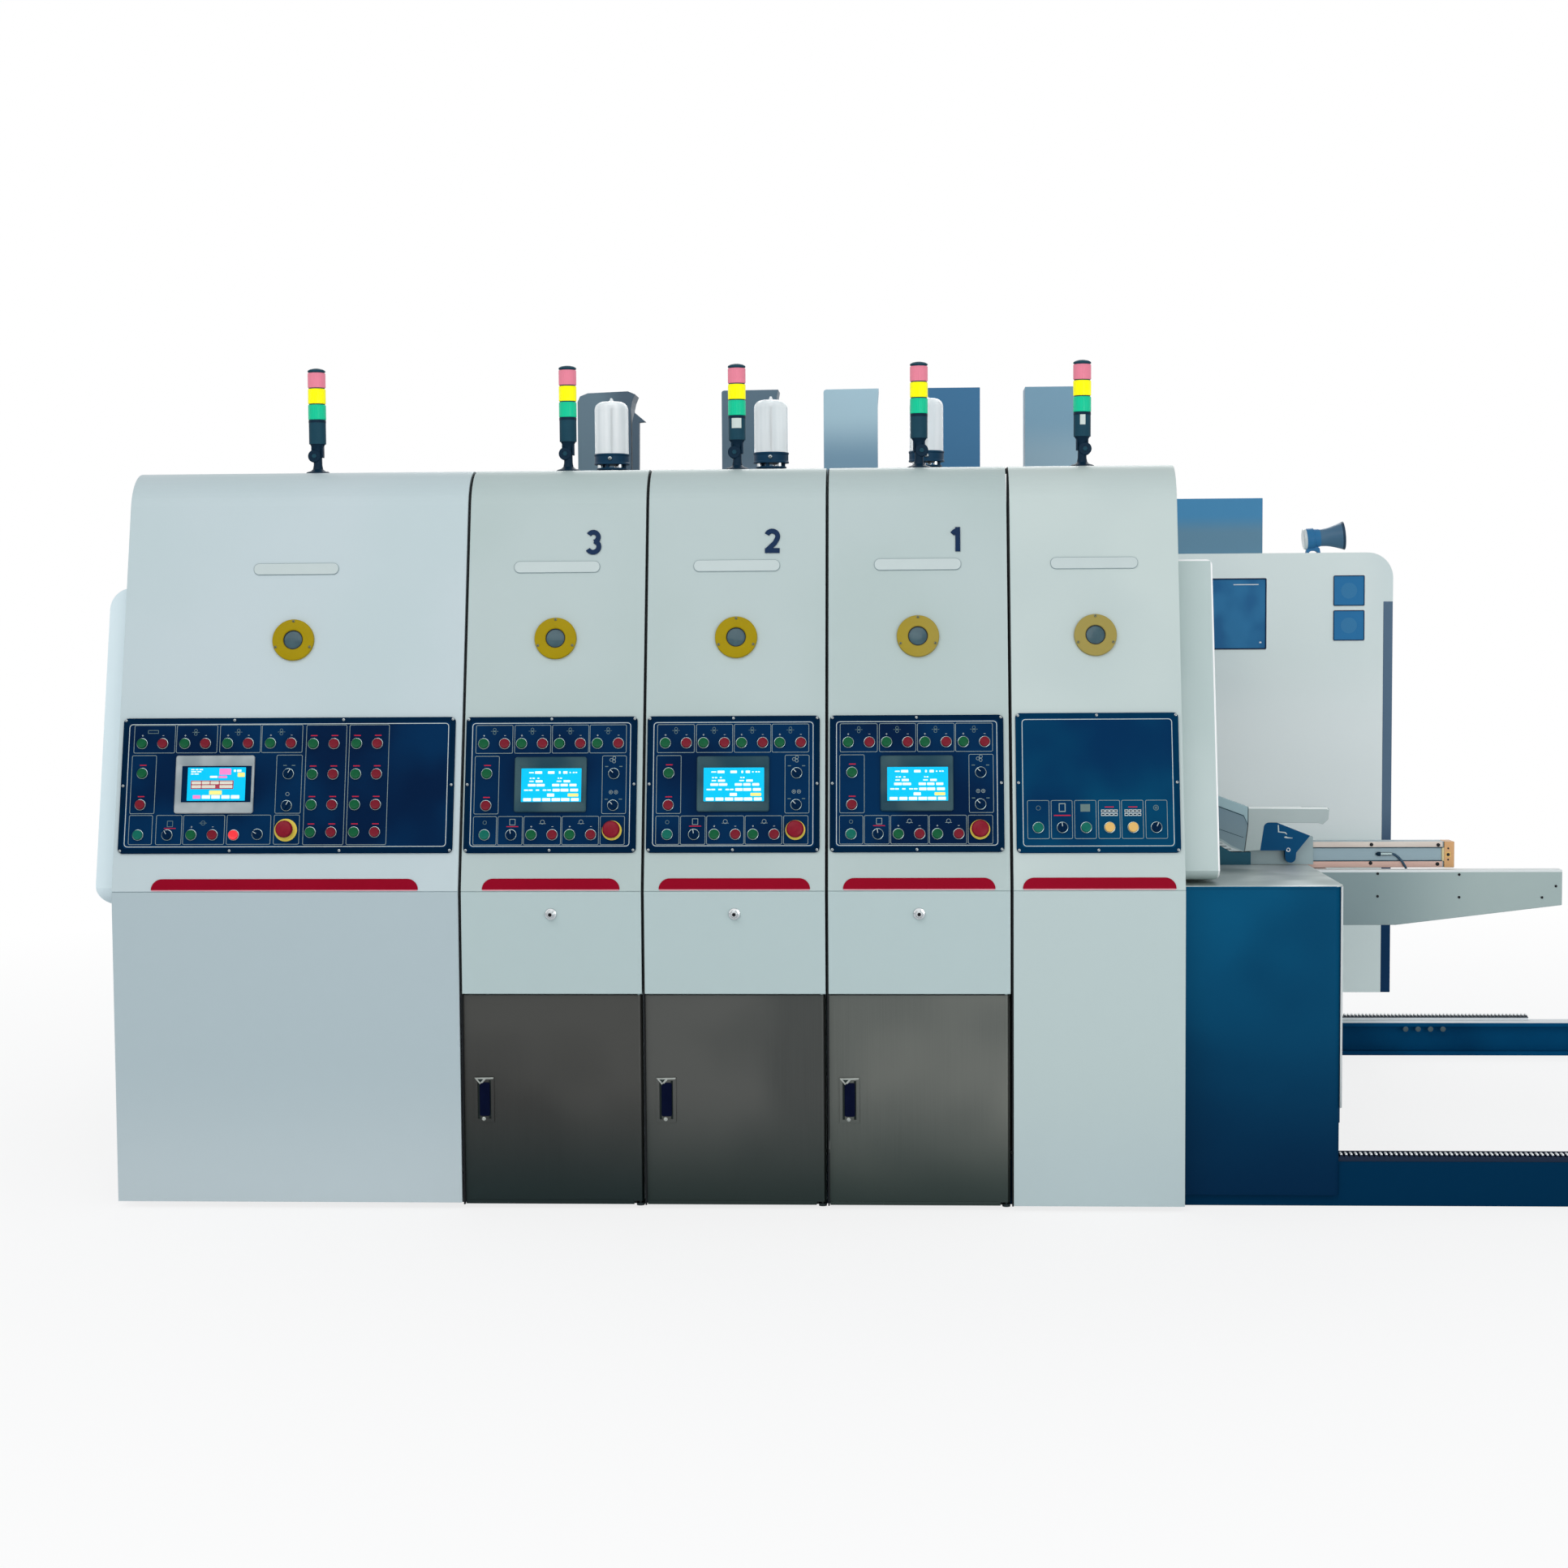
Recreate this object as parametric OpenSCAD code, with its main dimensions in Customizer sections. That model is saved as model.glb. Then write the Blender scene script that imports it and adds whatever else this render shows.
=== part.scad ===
// Flexographic printing press for corrugated sheets, in millimetres.
// Five units stand in a row on two floor rails: die-cutting, three printing units and the feeder.
// The operator stands at -Y, the sheets travel along X and +Z is up.
// The origin is the centre of the bounding box on the floor.
// All modules are written in the machine's own frame: x from the die-cutting unit's left face,
// y from the covers' front plane and z from the floor. to_origin() moves them once.

/* [Units] */
// Pitch of the die-cutting unit along the line
die_w = 889; // [780:1:1000]
// Pitch of each printing unit along the line
print_w = 463; // [440:1:520]
// Width of the feeding unit
feed_w = 431; // [400:1:500]
// Free gap between two closed units
unit_gap = 8; // [6:1:14]
// Depth of the machine from the front plane to the rear plane
machine_d = 2500; // [2200:20:3000]
// Height of the sheets' path above the floor
path_z = 870; // [850:5:900]
// Free height between two rolls that carry a sheet
nip = 8; // [6:1:12]

/* [Side covers] */
// Height of the printing units' lower edge above the floor
ground_gap = 8; // [6:1:10]
// Height of the crease between the upright and the leaning face
crease_z = 812; // [800:2:830]
// Height of the covers' flat top
top_z = 1885; // [1850:1:1950]
// Angle by which the upper face leans back
lean = 13.3; // [11:0.1:14]
// Radius between the leaning face and the top
top_r = 120; // [60:5:130]
// Depth of a side cover, up to the side wall
cover_d = 420; // [400:5:450]
// Depth of the skirt in front of the floor rail
skirt_t = 60; // [50:1:64]
// Height of the free tunnel that the floor rail runs through
tunnel_h = 214; // [212:1:225]
// Rest distance between two pieces that are seated on each other
seat = 0.3; // [0.2:0.05:0.5]

/* [Frame] */
// Thickness of the cast side walls
wall_t = 50; // [40:1:60]
// Distance of the side walls from the unit's own faces
wall_inset = 3; // [2:1:6]
// Depth of the cast foot under a side wall
foot_d = 300; // [290:1:304]
// Height of the cast foot
foot_h = 110; // [100:1:120]
// Depth of a roll's journal in the side wall
journal_in = 30; // [20:1:35]
// Running clearance around a journal
journal_gap = 0.3; // [0.2:0.05:0.5]

/* [Floor rails] */
// Width of a floor rail
rail_w = 80; // [70:1:90]
// Height of a floor rail
rail_h = 113; // [108:1:125]
// Distance of the front rail from the front plane
rail_y = 80; // [76:1:90]
// Length of rail past the feeding unit
rail_out = 2060; // [1900:20:2300]
// Thickness of a rail's top and bottom flange
rail_flange = 14; // [10:1:18]
// Thickness of a rail's web
rail_web = 16; // [12:1:24]
// Height of a rack over its tooth tips
rack_h = 20; // [16:1:22]
// Width of a rack
rack_w = 24; // [20:1:26]
// Module of the rack teeth
rack_module = 4; // [4:1:6]
// Diameter of a travelling wheel
wheel_d = 80; // [70:1:86]
// Width of a travelling wheel
wheel_w = 40; // [30:1:44]

/* [Doors] */
// Height of a cabinet door's top edge
door_top = 545; // [530:1:560]
// Thickness of a cabinet door
door_t = 20; // [18:1:22]
// Distance of a closed door behind the front plane
door_set = 15; // [12:1:18]
// Free gap around a door
door_gap = 6; // [5:0.5:8]
// Diameter of a door's pivot pin
pin_d = 8; // [6:1:10]
// Radial running clearance of a pivot pin
pin_gap = 0.1; // [0.05:0.01:0.1]
// Thickness of the sheet around a cabinet
cabinet_t = 12; // [8:1:16]

/* [Control panels] */
// Height of a control panel along the leaning face
panel_h = 347; // [340:1:360]
// Width of the panel on the die-cutting unit
die_panel_w = 852; // [840:1:860]
// Width of the panel on a printing unit
print_panel_w = 436; // [430:1:440]
// Width of the panel on the feeding unit
feed_panel_w = 408; // [400:1:415]
// Distance of a panel above the crease, along the leaning face
panel_up = 97; // [80:1:110]
// Thickness of a panel
panel_t = 6; // [4:1:8]
// Diameter of a push button's bezel
button_d = 29; // [28:0.5:30]
// Diameter of an emergency-stop mushroom
estop_d = 44; // [40:1:48]

/* [Fittings] */
// Outer diameter of the sight port's ring
port_d = 108; // [100:1:116]
// Diameter of the sight port's glass
port_glass_d = 50; // [44:1:56]
// Height of the sight port's centre along the leaning face
port_up = 650; // [630:1:660]
// Height of the coloured stripe above the crease
stripe_h = 28; // [24:1:32]
// Diameter of a signal lamp's lenses
beacon_d = 50; // [45:1:55]
// Height of one lens of a signal lamp
lens_h = 42; // [38:1:48]
// Diameter of the oil dome's glass
dome_d = 98; // [90:1:104]
// Height of the air ducts' top above the floor
duct_top = 2260; // [2230:5:2300]

/* [Feeder] */
// Reach of the feeding unit's rear housing past the unit
housing_out = 907; // [880:1:960]
// Height of the rear housing's lower edge
housing_z = 255; // [200:5:280]
// Height of the rear housing's top
housing_top = 1707; // [1690:1:1750]
// Width of the blue cabinet beside the feeding unit
base_w = 397; // [390:1:430]
// Height of the blue cabinet
base_top = 809; // [800:1:820]
// Reach of the side arm past the feeding unit
arm_out = 1088; // [1060:1:1160]
// Height of the side arm's top edge
arm_top = 800; // [800:1:815]
// Greatest height of the side arm
arm_h = 151; // [140:1:170]

/* [Hidden] */
$fn = 48;

paint = "#c3d2d4";
navy = "#00304f";
steel = "#9aa3a6";
dark_steel = "#4a4a48";
cast = "#5b6b72";
signal_red = "#a80028";
signal_yellow = "#d8b820";

// Places of the units: 0 is the die-cutting unit, 1 to 3 are the printing units 3 to 1, 4 feeds.
DIE = 0;
PRINT_3 = 1;
PRINT_2 = 2;
PRINT_1 = 3;
FEED = 4;
function unit_left(i) = i == DIE ? 0 : die_w + (i - 1) * print_w + unit_gap / 2;
function unit_right(i) = i == FEED ? die_w + 3 * print_w + feed_w : die_w + i * print_w - unit_gap / 2;
function unit_mid(i) = (unit_left(i) + unit_right(i)) / 2;
function unit_width(i) = unit_right(i) - unit_left(i);

line_end = unit_right(FEED);
wall_y = cover_d;
inner_y = wall_y + wall_t;
span = machine_d - 2 * inner_y;
foot_y = inner_y - foot_d;
foot_top = tunnel_h - 4;
foot_bottom = foot_top - foot_h;

// The centre of the box that holds the whole machine
left_cover_w = 66;
lock_out = 20;
rail_end = line_end + rail_out;
origin_x = (rail_end - left_cover_w) / 2;
origin_y = (machine_d - lock_out) / 2;

module to_origin() {
    translate([-origin_x, -origin_y, 0]) children();
}

// Draws the child and its mirror image on the other side of the machine.
module both_sides() {
    children();
    translate([0, machine_d, 0]) mirror([0, 1, 0]) children();
}

// Extrudes a y-z outline from x0 over the width w.
module along_x(x0, w) {
    translate([x0, 0, 0]) rotate([90, 0, 90]) linear_extrude(w) children();
}

// Extrudes an x-z outline from y0 over the depth d.
module along_y(y0, d) {
    translate([0, y0 + d, 0]) rotate([90, 0, 0]) linear_extrude(d) children();
}

// A place on the leaning face: child x runs along the machine, y up the face and z out of it.
module on_face(x, up) {
    translate([x, 0, crease_z]) rotate([90 - lean, 0, 0]) translate([0, up, seat]) children();
}

// Points on a round stretch about the centre c, from the angle a0 to a1
function arc(c, r, a0, a1, steps) = [
    for (k = [0 : steps]) let (a = a0 + (a1 - a0) * k / steps) c + r * [cos(a), sin(a)]
];

// Points given as shares of a width and a height
function shares(points, w, h) = [for (p = points) [p[0] * w, p[1] * h]];

// A rectangle with round corners from the origin
module round_rect(w, h, r) {
    translate([r, 0]) square([w - 2 * r, h]);
    translate([0, r]) square([w, h - 2 * r]);
    for (x = [r, w - r], y = [r, h - r]) translate([x, y]) circle(r);
}

/* Floor rails: a flanged beam on each side, with a rack on its top */

module rail_outline() {
    square([rail_w, rail_flange]);
    translate([(rail_w - rail_web) / 2, 0]) square([rail_web, rail_h]);
    translate([0, rail_h - rail_flange]) square([rail_w, rail_flange]);
    // The outer face is closed by a plate.
    square([rail_flange, rail_h]);
}

module floor_rails() {
    color(navy) to_origin() both_sides() along_x(0, rail_end) translate([rail_y, 0]) rail_outline();
}

rack_pitch = rack_module * PI;
tooth_h = 2.25 * rack_module;
rack_start = unit_left(PRINT_3);
rack_front_end = rail_end;
rack_rear_end = rail_end - 0.3 * rail_out;
rack_in = 2;
// Half widths of a tooth at its root and at its tip, as shares of the pitch
tooth_root = 0.30;
tooth_tip = 0.16;

module rack_outline(x0, x1) {
    teeth = floor((x1 - x0) / rack_pitch);
    root_z = rack_h - tooth_h;
    tooth = [[-tooth_root, 0], [-tooth_tip, tooth_h], [tooth_tip, tooth_h], [tooth_root, 0]];
    teeth_points = [
        for (k = [0 : teeth - 1], p = tooth) [x0 + (k + 0.5 + p[0]) * rack_pitch, root_z + p[1]]
    ];
    polygon(concat([[x0, 0], [x0, root_z]], teeth_points, [[x0 + teeth * rack_pitch, root_z]],
        [[x0 + teeth * rack_pitch, 0]]));
}

module rack(x1) {
    translate([0, 0, rail_h + seat]) along_y(rail_y + rack_in, rack_w) rack_outline(rack_start, x1);
}

module rail_racks() {
    color(steel) to_origin() {
        rack(rack_front_end);
        translate([0, machine_d, 0]) mirror([0, 1, 0]) rack(rack_rear_end);
    }
}

/* Frame of a unit: cast side walls on feet, travelling wheels and cross beams */

// Rolls of a unit, each as [x from the unit's middle, height, radius, journal radius]
plate_r = 150;
impression_r = 80;
anilox_r = 100;
doctor_r = 70;
roll_gap = 2;
anilox_angle = 25;
doctor_angle = 20;
plate_z = path_z - nip / 2 - plate_r;
anilox_x = (plate_r + anilox_r + roll_gap) * sin(anilox_angle);
anilox_z = plate_z - (plate_r + anilox_r + roll_gap) * cos(anilox_angle);
doctor_x = anilox_x - (anilox_r + doctor_r + roll_gap) * cos(doctor_angle);
doctor_z = anilox_z - (anilox_r + doctor_r + roll_gap) * sin(doctor_angle);
print_rolls = [
    [0, plate_z, plate_r, 45],
    [0, path_z + nip / 2 + impression_r, impression_r, 35],
    [anilox_x, anilox_z, anilox_r, 35],
    [doctor_x, doctor_z, doctor_r, 30]
];
cutter_r = 180;
pull_r = 70;
pull_x = 320;
die_rolls_list = [
    [0, path_z + nip / 2 + cutter_r, cutter_r, 60],
    [0, path_z - nip / 2 - cutter_r, cutter_r, 60],
    for (side = [-1, 1], up = [-1, 1]) [side * pull_x, path_z + up * (nip / 2 + pull_r), pull_r, 30]
];
feed_roll_r = 80;
feed_rolls_list = [
    for (up = [-1, 1]) [0, path_z + up * (nip / 2 + feed_roll_r), feed_roll_r, 35]
];

wall_drop = 12;
bore_extra = 1;

module wall_outline() {
    translate([wall_y, foot_bottom]) square([wall_t, top_z - wall_drop - foot_bottom]);
    translate([foot_y, foot_bottom]) square([foot_d, foot_h]);
}

// One side wall on its foot, with blind bores for the journals and the wheels' axles
module side_wall(i, rolls) {
    x0 = unit_left(i) + wall_inset;
    w = unit_width(i) - 2 * wall_inset;
    difference() {
        along_x(x0, w) wall_outline();
        for (r = rolls)
            translate([unit_mid(i) + r[0], inner_y - journal_in - bore_extra, r[1]])
                rotate([-90, 0, 0]) cylinder(h = journal_in + 2 * bore_extra, r = r[3] + journal_gap);
        for (x = wheel_places(i))
            translate([x, foot_y - bore_extra, axle_z]) rotate([-90, 0, 0])
                cylinder(h = axle_in + 2 * bore_extra, d = axle_d + axle_gap);
    }
}

axle_d = 26;
axle_gap = 0.2;
axle_in = 40;
axle_z = rail_h + seat + wheel_d / 2;
wheel_gap = 6;
wheel_y = rail_y + rack_in + rack_w + wheel_gap;
wheel_inset = 90;
function wheel_places(i) = [unit_left(i) + wheel_inset, unit_right(i) - wheel_inset];

module wheel(x) {
    translate([x, wheel_y, axle_z]) rotate([-90, 0, 0]) {
        cylinder(h = wheel_w, d = wheel_d);
        cylinder(h = foot_y + axle_in - wheel_y, d = axle_d);
    }
}

beam_w = 260;
top_beam_h = 300;
beam_drop = 4;
top_beam_z = top_z - beam_drop - top_beam_h;
low_beam_h = 100;

module cross_beam(x, w, z, h) {
    translate([x - w / 2, inner_y + seat, z]) cube([w, span - 2 * seat, h]);
}

module unit_frame(i, rolls) {
    both_sides() {
        side_wall(i, rolls);
        for (x = wheel_places(i)) wheel(x);
    }
    cross_beam(unit_mid(i), beam_w, top_beam_z, top_beam_h);
    cross_beam(unit_mid(i), beam_w, foot_bottom, low_beam_h);
}

// A turned roll with its two journals
roll_end_gap = 12;
journal_end_gap = 1;

module roll(i, r) {
    journal_reach = journal_in - journal_end_gap;
    translate([unit_mid(i) + r[0], 0, r[1]]) rotate([-90, 0, 0]) {
        translate([0, 0, inner_y + roll_end_gap]) cylinder(h = span - 2 * roll_end_gap, r = r[2], $fn = 96);
        translate([0, 0, inner_y - journal_reach]) cylinder(h = span + 2 * journal_reach, r = r[3]);
    }
}

module unit_rolls(i, rolls) {
    for (r = rolls) roll(i, r);
}

/* Side covers: a folded hood with an upright and a leaning face */

tan_lean = tan(lean);
round_z = top_z - top_r;
round_y = (round_z - crease_z) * tan_lean + top_r / cos(lean);

// How much higher each unit's skirt ends than those of the printing units
skirt_lift = [9, 0, 0, 0, 6];

// The outline of a cover over the rail's tunnel, in y and z
module cover_outline(z0) {
    back = cover_d - seat;
    polygon(concat(
        [[0, z0], [0, crease_z]],
        arc([round_y, round_z], top_r, 180 - lean, 90, 12),
        [[back, top_z], [back, tunnel_h], [skirt_t, tunnel_h], [skirt_t, z0]]
    ));
}

module side_cover(i) {
    along_x(unit_left(i), unit_width(i)) cover_outline(ground_gap + skirt_lift[i]);
}

groove_w = 2;
groove_in = 3;
cut_over = 1;

// A groove along the crease, which parts the lower panel from the leaning face
module crease_groove(i) {
    translate([unit_left(i) - cut_over, -cut_over, crease_z - groove_w - cut_over])
        cube([unit_width(i) + 2 * cut_over, groove_in + cut_over, groove_w]);
}

cabinet_z = tunnel_h + cabinet_t;
cabinet_front = door_set + door_t + door_gap;
lug_h = 6;
door_bottom = ground_gap + door_gap + lug_h;
door_x_pin = door_t / 2;
pin_y = door_set + door_t / 2;
pin_in = 14;

// The recess of the door and the cabinet behind it
module cabinet_space(i) {
    x0 = unit_left(i);
    w = unit_width(i);
    translate([x0 - cut_over, -cut_over, ground_gap - cut_over])
        cube([w + 2 * cut_over, cabinet_front + cut_over, door_top + door_gap - ground_gap + cut_over]);
    translate([x0 + cabinet_t, cabinet_front - cut_over, cabinet_z])
        cube([w - 2 * cabinet_t, cover_d - cabinet_front - cabinet_t, door_top - cabinet_t - cabinet_z]);
}

// The upper and lower pivot of a door, with the lug that carries the lower one
module door_pivots(i) {
    x = unit_right(i) - door_x_pin;
    translate([x, pin_y, door_top - pin_in]) cylinder(h = pin_in + door_gap + cut_over, d = pin_d);
    translate([x, pin_y, ground_gap]) cylinder(h = door_bottom - ground_gap + pin_in, d = pin_d);
    translate([x, pin_y, ground_gap]) cylinder(h = lug_h, d = door_t);
    translate([x - door_t / 2, pin_y, ground_gap]) cube([door_t, skirt_t - pin_y, lug_h]);
}

module print_cover(i) {
    difference() {
        side_cover(i);
        cabinet_space(i);
        crease_groove(i);
    }
    door_pivots(i);
}

module rear_side_cover(i) {
    translate([0, machine_d, 0]) mirror([0, 1, 0]) side_cover(i);
}

handle_w = 51;
handle_h = 115;
handle_z = 279;
handle_x = 25;
handle_deep = 12;
handle_out = 3;
handle_rim = 8;
paddle_in = 14;

module cabinet_door(i) {
    x0 = unit_left(i);
    pin_x = unit_right(i) - door_x_pin;
    h = door_top - door_bottom;
    difference() {
        union() {
            translate([x0, door_set, door_bottom]) cube([pin_x - x0, door_t, h]);
            translate([pin_x, pin_y, door_bottom]) cylinder(h = h, d = door_t);
        }
        for (z = [door_bottom - cut_over, door_top - pin_in - cut_over])
            translate([pin_x, pin_y, z]) cylinder(h = pin_in + 2 * cut_over, d = pin_d + 2 * pin_gap);
        translate([x0 + handle_x, door_set - cut_over, handle_z - handle_h / 2])
            cube([handle_w, handle_deep + cut_over, handle_h]);
    }
}

// The pull in the door's recess: a frame with a paddle
module door_handle(i) {
    w = handle_w - 2 * seat;
    h = handle_h - 2 * seat;
    translate([unit_left(i) + handle_x + seat, door_set - handle_out, handle_z - h / 2]) {
        difference() {
            cube([w, handle_deep + handle_out - seat, h]);
            translate([handle_rim, -cut_over, handle_rim])
                cube([w - 2 * handle_rim, handle_deep, h - 2 * handle_rim]);
        }
        translate([paddle_in, handle_out - cut_over, handle_rim - cut_over])
            cube([w - 2 * paddle_in, handle_deep, h - 2 * (handle_rim - cut_over)]);
    }
}

/* Control panels */

push_h = 12;
bezel_h = 6;
cap_d = 22;
knob_w = 8;
knob_h = 16;
knob_base_h = 3;
estop_h = 34;
stop_plate_t = 4;
stop_rim = 14;
mushroom_h = 16;
panel_r = 12;
screen_w = 200;
screen_h = 147;
screen_t = 5;
// The active area of a screen, from its lower left corner
glass_in = [23, 30];
glass_size = [154, 86];
glass_deep = 2;

// Controls are [kind, u, v]: u from the panel's left edge and v down from its top edge.
function pair(kind, u, v, half) = [[kind, u - half, v], [kind, u + half, v]];
half_pair = 26.3;
print_cells = 4;
print_cell_u = 65.5;
print_cell_pitch = 96.7;
low_row_v = 301;
low_cell_u = 195.5;
print_controls = concat(
    [for (k = [0 : print_cells - 1]) each pair("push", print_cell_u + k * print_cell_pitch, 67, half_pair)],
    [for (v = [143, 227]) each [["push", 50, v], ["turn", 375, v]]],
    [["push", 50, low_row_v], ["turn", 117, low_row_v], ["stop", 375, 291]],
    [for (k = [0, 1]) each pair("push", low_cell_u + k * print_cell_pitch, low_row_v, half_pair)]
);
die_cell_u = 69;
die_cell_pitch = 110;
die_block_u = 511;
die_block_pitch = [111, 76];
die_controls = concat(
    [for (k = [0 : 3]) each pair("push", die_cell_u + k * die_cell_pitch, 65, half_pair)],
    [for (j = [0, 1], k = [0 : 3])
        each pair("push", die_block_u + j * die_block_pitch[0], 67 + k * die_block_pitch[1], half_pair)],
    [for (v = [143, 226]) each [["push", 53, v], ["turn", 424, v]]],
    [["push", 45, 290], ["turn", 119, 290], ["push", 290, 290], ["turn", 354, 290], ["stop", 420, 284]],
    pair("push", 209, 290, half_pair)
);
feed_controls = [
    for (k = [0 : 5]) [k == 1 || k == 5 ? "turn" : "push", 58 + k * 59.2, 281]
];

module push_button() {
    cylinder(h = bezel_h, d = button_d);
    cylinder(h = push_h, d = cap_d);
}

module turn_switch() {
    cylinder(h = bezel_h, d = button_d);
    cylinder(h = bezel_h + knob_base_h, d = cap_d);
    rotate(45) translate([-button_d / 2, -knob_w / 2, 0]) cube([button_d, knob_w, knob_h]);
}

module stop_button() {
    cylinder(h = stop_plate_t, d = estop_d + stop_rim);
    cylinder(h = estop_h, d = estop_d * 0.6);
    translate([0, 0, estop_h - mushroom_h]) cylinder(h = mushroom_h, d = estop_d);
}

module control(kind) {
    if (kind == "push") push_button();
    if (kind == "turn") turn_switch();
    if (kind == "stop") stop_button();
}

module touch_screen(u, v) {
    translate([u, panel_h - v - screen_h, panel_t]) difference() {
        cube([screen_w, screen_h, screen_t]);
        translate([glass_in[0], glass_in[1], screen_t - glass_deep])
            cube([glass_size[0], glass_size[1], glass_deep + cut_over]);
    }
}

module control_panel(i, w, controls) {
    on_face(unit_mid(i) - w / 2, panel_up) {
        linear_extrude(panel_t) round_rect(w, panel_h, panel_r);
        for (c = controls) translate([c[1], panel_h - c[2], panel_t]) control(c[0]);
        children();
    }
}

/* Fittings of a unit: sight port, stripe, name plate and lock */

plate_up = 839;
plate_w = 215;
plate_h = 31;
plate_t = 3;
port_t = 10;
port_edge = 3;
port_bevel = [8, 5];
port_glass_t = 4;
stripe_t = 2;
stripe_up = 2;

module sight_port() {
    inner = port_glass_d / 2;
    outer = port_d / 2;
    rotate_extrude() polygon([
        [inner, 0], [outer, 0], [outer, port_t - port_edge], [outer - port_edge, port_t],
        [inner + port_bevel[0], port_t], [inner, port_t - port_bevel[1]]
    ]);
    cylinder(h = port_glass_t, d = port_glass_d - 2 * seat);
}

module stripe(w) {
    r = stripe_h;
    translate([-w / 2, 0, 0]) linear_extrude(stripe_t) intersection() {
        union() {
            translate([r, 0]) square([w - 2 * r, r]);
            translate([r, 0]) circle(r);
            translate([w - r, 0]) circle(r);
        }
        square([w, r]);
    }
}

module name_plate() {
    translate([-plate_w / 2, -plate_h / 2, 0]) linear_extrude(plate_t)
        round_rect(plate_w, plate_h, 0.47 * plate_h);
}

module unit_fittings(i) {
    on_face(unit_mid(i), port_up) sight_port();
    on_face(unit_mid(i), stripe_up) stripe(unit_width(i) - 2 * stripe_in[i]);
    on_face(unit_mid(i), plate_up) name_plate();
}

// Free width beside the stripe of each unit
stripe_in = [101, 53, 37, 37, 23];
lock_z = 752;
lock_d = 17;
lock_ring_d = 31;
lock_ring_t = 6;

module cam_lock(i) {
    translate([unit_mid(i), -seat, lock_z]) rotate([90, 0, 0]) {
        cylinder(h = lock_ring_t, d = lock_ring_d);
        cylinder(h = lock_out - seat, d = lock_d);
    }
}

/* Signal lamp on the cover's top */

beacon_y = 382;
// Distance of each unit's lamp from the unit's middle
beacon_dx = [17, 7, -9, 6, -17];
beacon_foot_d = 66;
beacon_foot_t = 6;
flare_h = 20;
neck_d = 22;
knuckle_d = 40;
knuckle_w = 28;
knuckle_z = 50;
knuckle_dx = 5;
bracket_h = 80;
body_h = 62;
lens_groove = 3;
groove_r = 22;
lamp_cap_h = 9;

// The lamp's turned outline: a flared foot, a neck, the body, three lenses and a cap
function lamp_points() =
    let (body_r = 0.46 * beacon_d, lens_r = beacon_d / 2)
    let (lens_z = bracket_h + body_h, top = lens_z + 3 * lens_h)
    concat(
        [[0, 0], [beacon_foot_d / 2, 0], [beacon_foot_d / 2, beacon_foot_t]],
        [[0.8 * neck_d, 2 * beacon_foot_t], [neck_d / 2, flare_h], [neck_d / 2, knuckle_z]],
        [[0.6 * neck_d, 0.8 * bracket_h], [0.9 * body_r, 0.9 * bracket_h]],
        [[body_r, bracket_h], [body_r, lens_z]],
        [for (k = [0 : 2]) let (z = lens_z + k * lens_h) each [
            [lens_r, z], [lens_r, z + lens_h - lens_groove],
            [groove_r, z + lens_h - lens_groove], [groove_r, z + lens_h]
        ]],
        [[lens_r, top], [lens_r, top + 0.3 * lamp_cap_h]],
        [[0.7 * lens_r, top + 0.8 * lamp_cap_h], [0, top + lamp_cap_h]]
    );

module beacon(i) {
    translate([unit_mid(i) + beacon_dx[i], beacon_y, top_z + seat]) {
        rotate_extrude() polygon(lamp_points());
        translate([knuckle_dx, -knuckle_w / 2, knuckle_z]) rotate([-90, 0, 0])
            cylinder(h = knuckle_w, d = knuckle_d);
    }
}

/* Oil dome on the top beam: a glass jar with a finial in a dark ring, on four legs and a pedestal */

dome_y = 0.45 * machine_d;
// Distance of each printing unit's dome from the unit's middle
dome_dx = [0, 37, 42, 33];
pedestal_h = 56;
pedestal_d = 80;
dome_foot_d = 90;
dome_foot_t = 4;
leg_d = 12;
leg_r = 36;
leg_h = 14;
ring_h = 31;
ring_rim = 3;
glass_in_ring = 6;
glass_h = 158;
glass_t = 4;
shoulder_r = 24;
finial_r = 7;
finial_h = 12;
rod_d = 10;

// The jar's outline from its open foot to the finial, outside and back inside
function jar_points() =
    let (r = dome_d / 2, inner_r = shoulder_r - glass_t, c = [r - shoulder_r, glass_h - shoulder_r])
    concat(
        [[r - glass_t, 0], [r, 0]],
        arc(c, shoulder_r, 0, 90, 6),
        [[finial_r, glass_h], [0, glass_h + finial_h], [0, glass_h - glass_t]],
        arc(c, inner_r, 90, 0, 6)
    );

module oil_dome(i) {
    beam_top = top_z - beam_drop + seat;
    translate([unit_mid(i) + dome_dx[i], dome_y, beam_top])
        cylinder(h = pedestal_h + cut_over, d = pedestal_d);
    translate([unit_mid(i) + dome_dx[i], dome_y, beam_top + pedestal_h]) {
        cylinder(h = dome_foot_t, d = dome_foot_d);
        for (a = [45 : 90 : 315])
            rotate(a) translate([leg_r, 0, 0]) cylinder(h = leg_h + cut_over, d = leg_d);
        translate([0, 0, leg_h]) difference() {
            cylinder(h = ring_h, d = dome_d + 2 * ring_rim);
            translate([0, 0, ring_h - glass_in_ring])
                cylinder(h = glass_in_ring + cut_over, d = dome_d + 2 * seat);
        }
        translate([0, 0, leg_h + cut_over])
            cylinder(h = ring_h + glass_h - 2 * glass_t - glass_in_ring, d = rod_d);
        translate([0, 0, leg_h + ring_h - glass_in_ring + seat]) rotate_extrude() polygon(jar_points());
    }
}

/* Air ducts on the rear covers */

duct_back = 400;
duct_y = machine_d - duct_back;
duct_d = 130;
duct_w = 178;
duct_over = 8;

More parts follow.
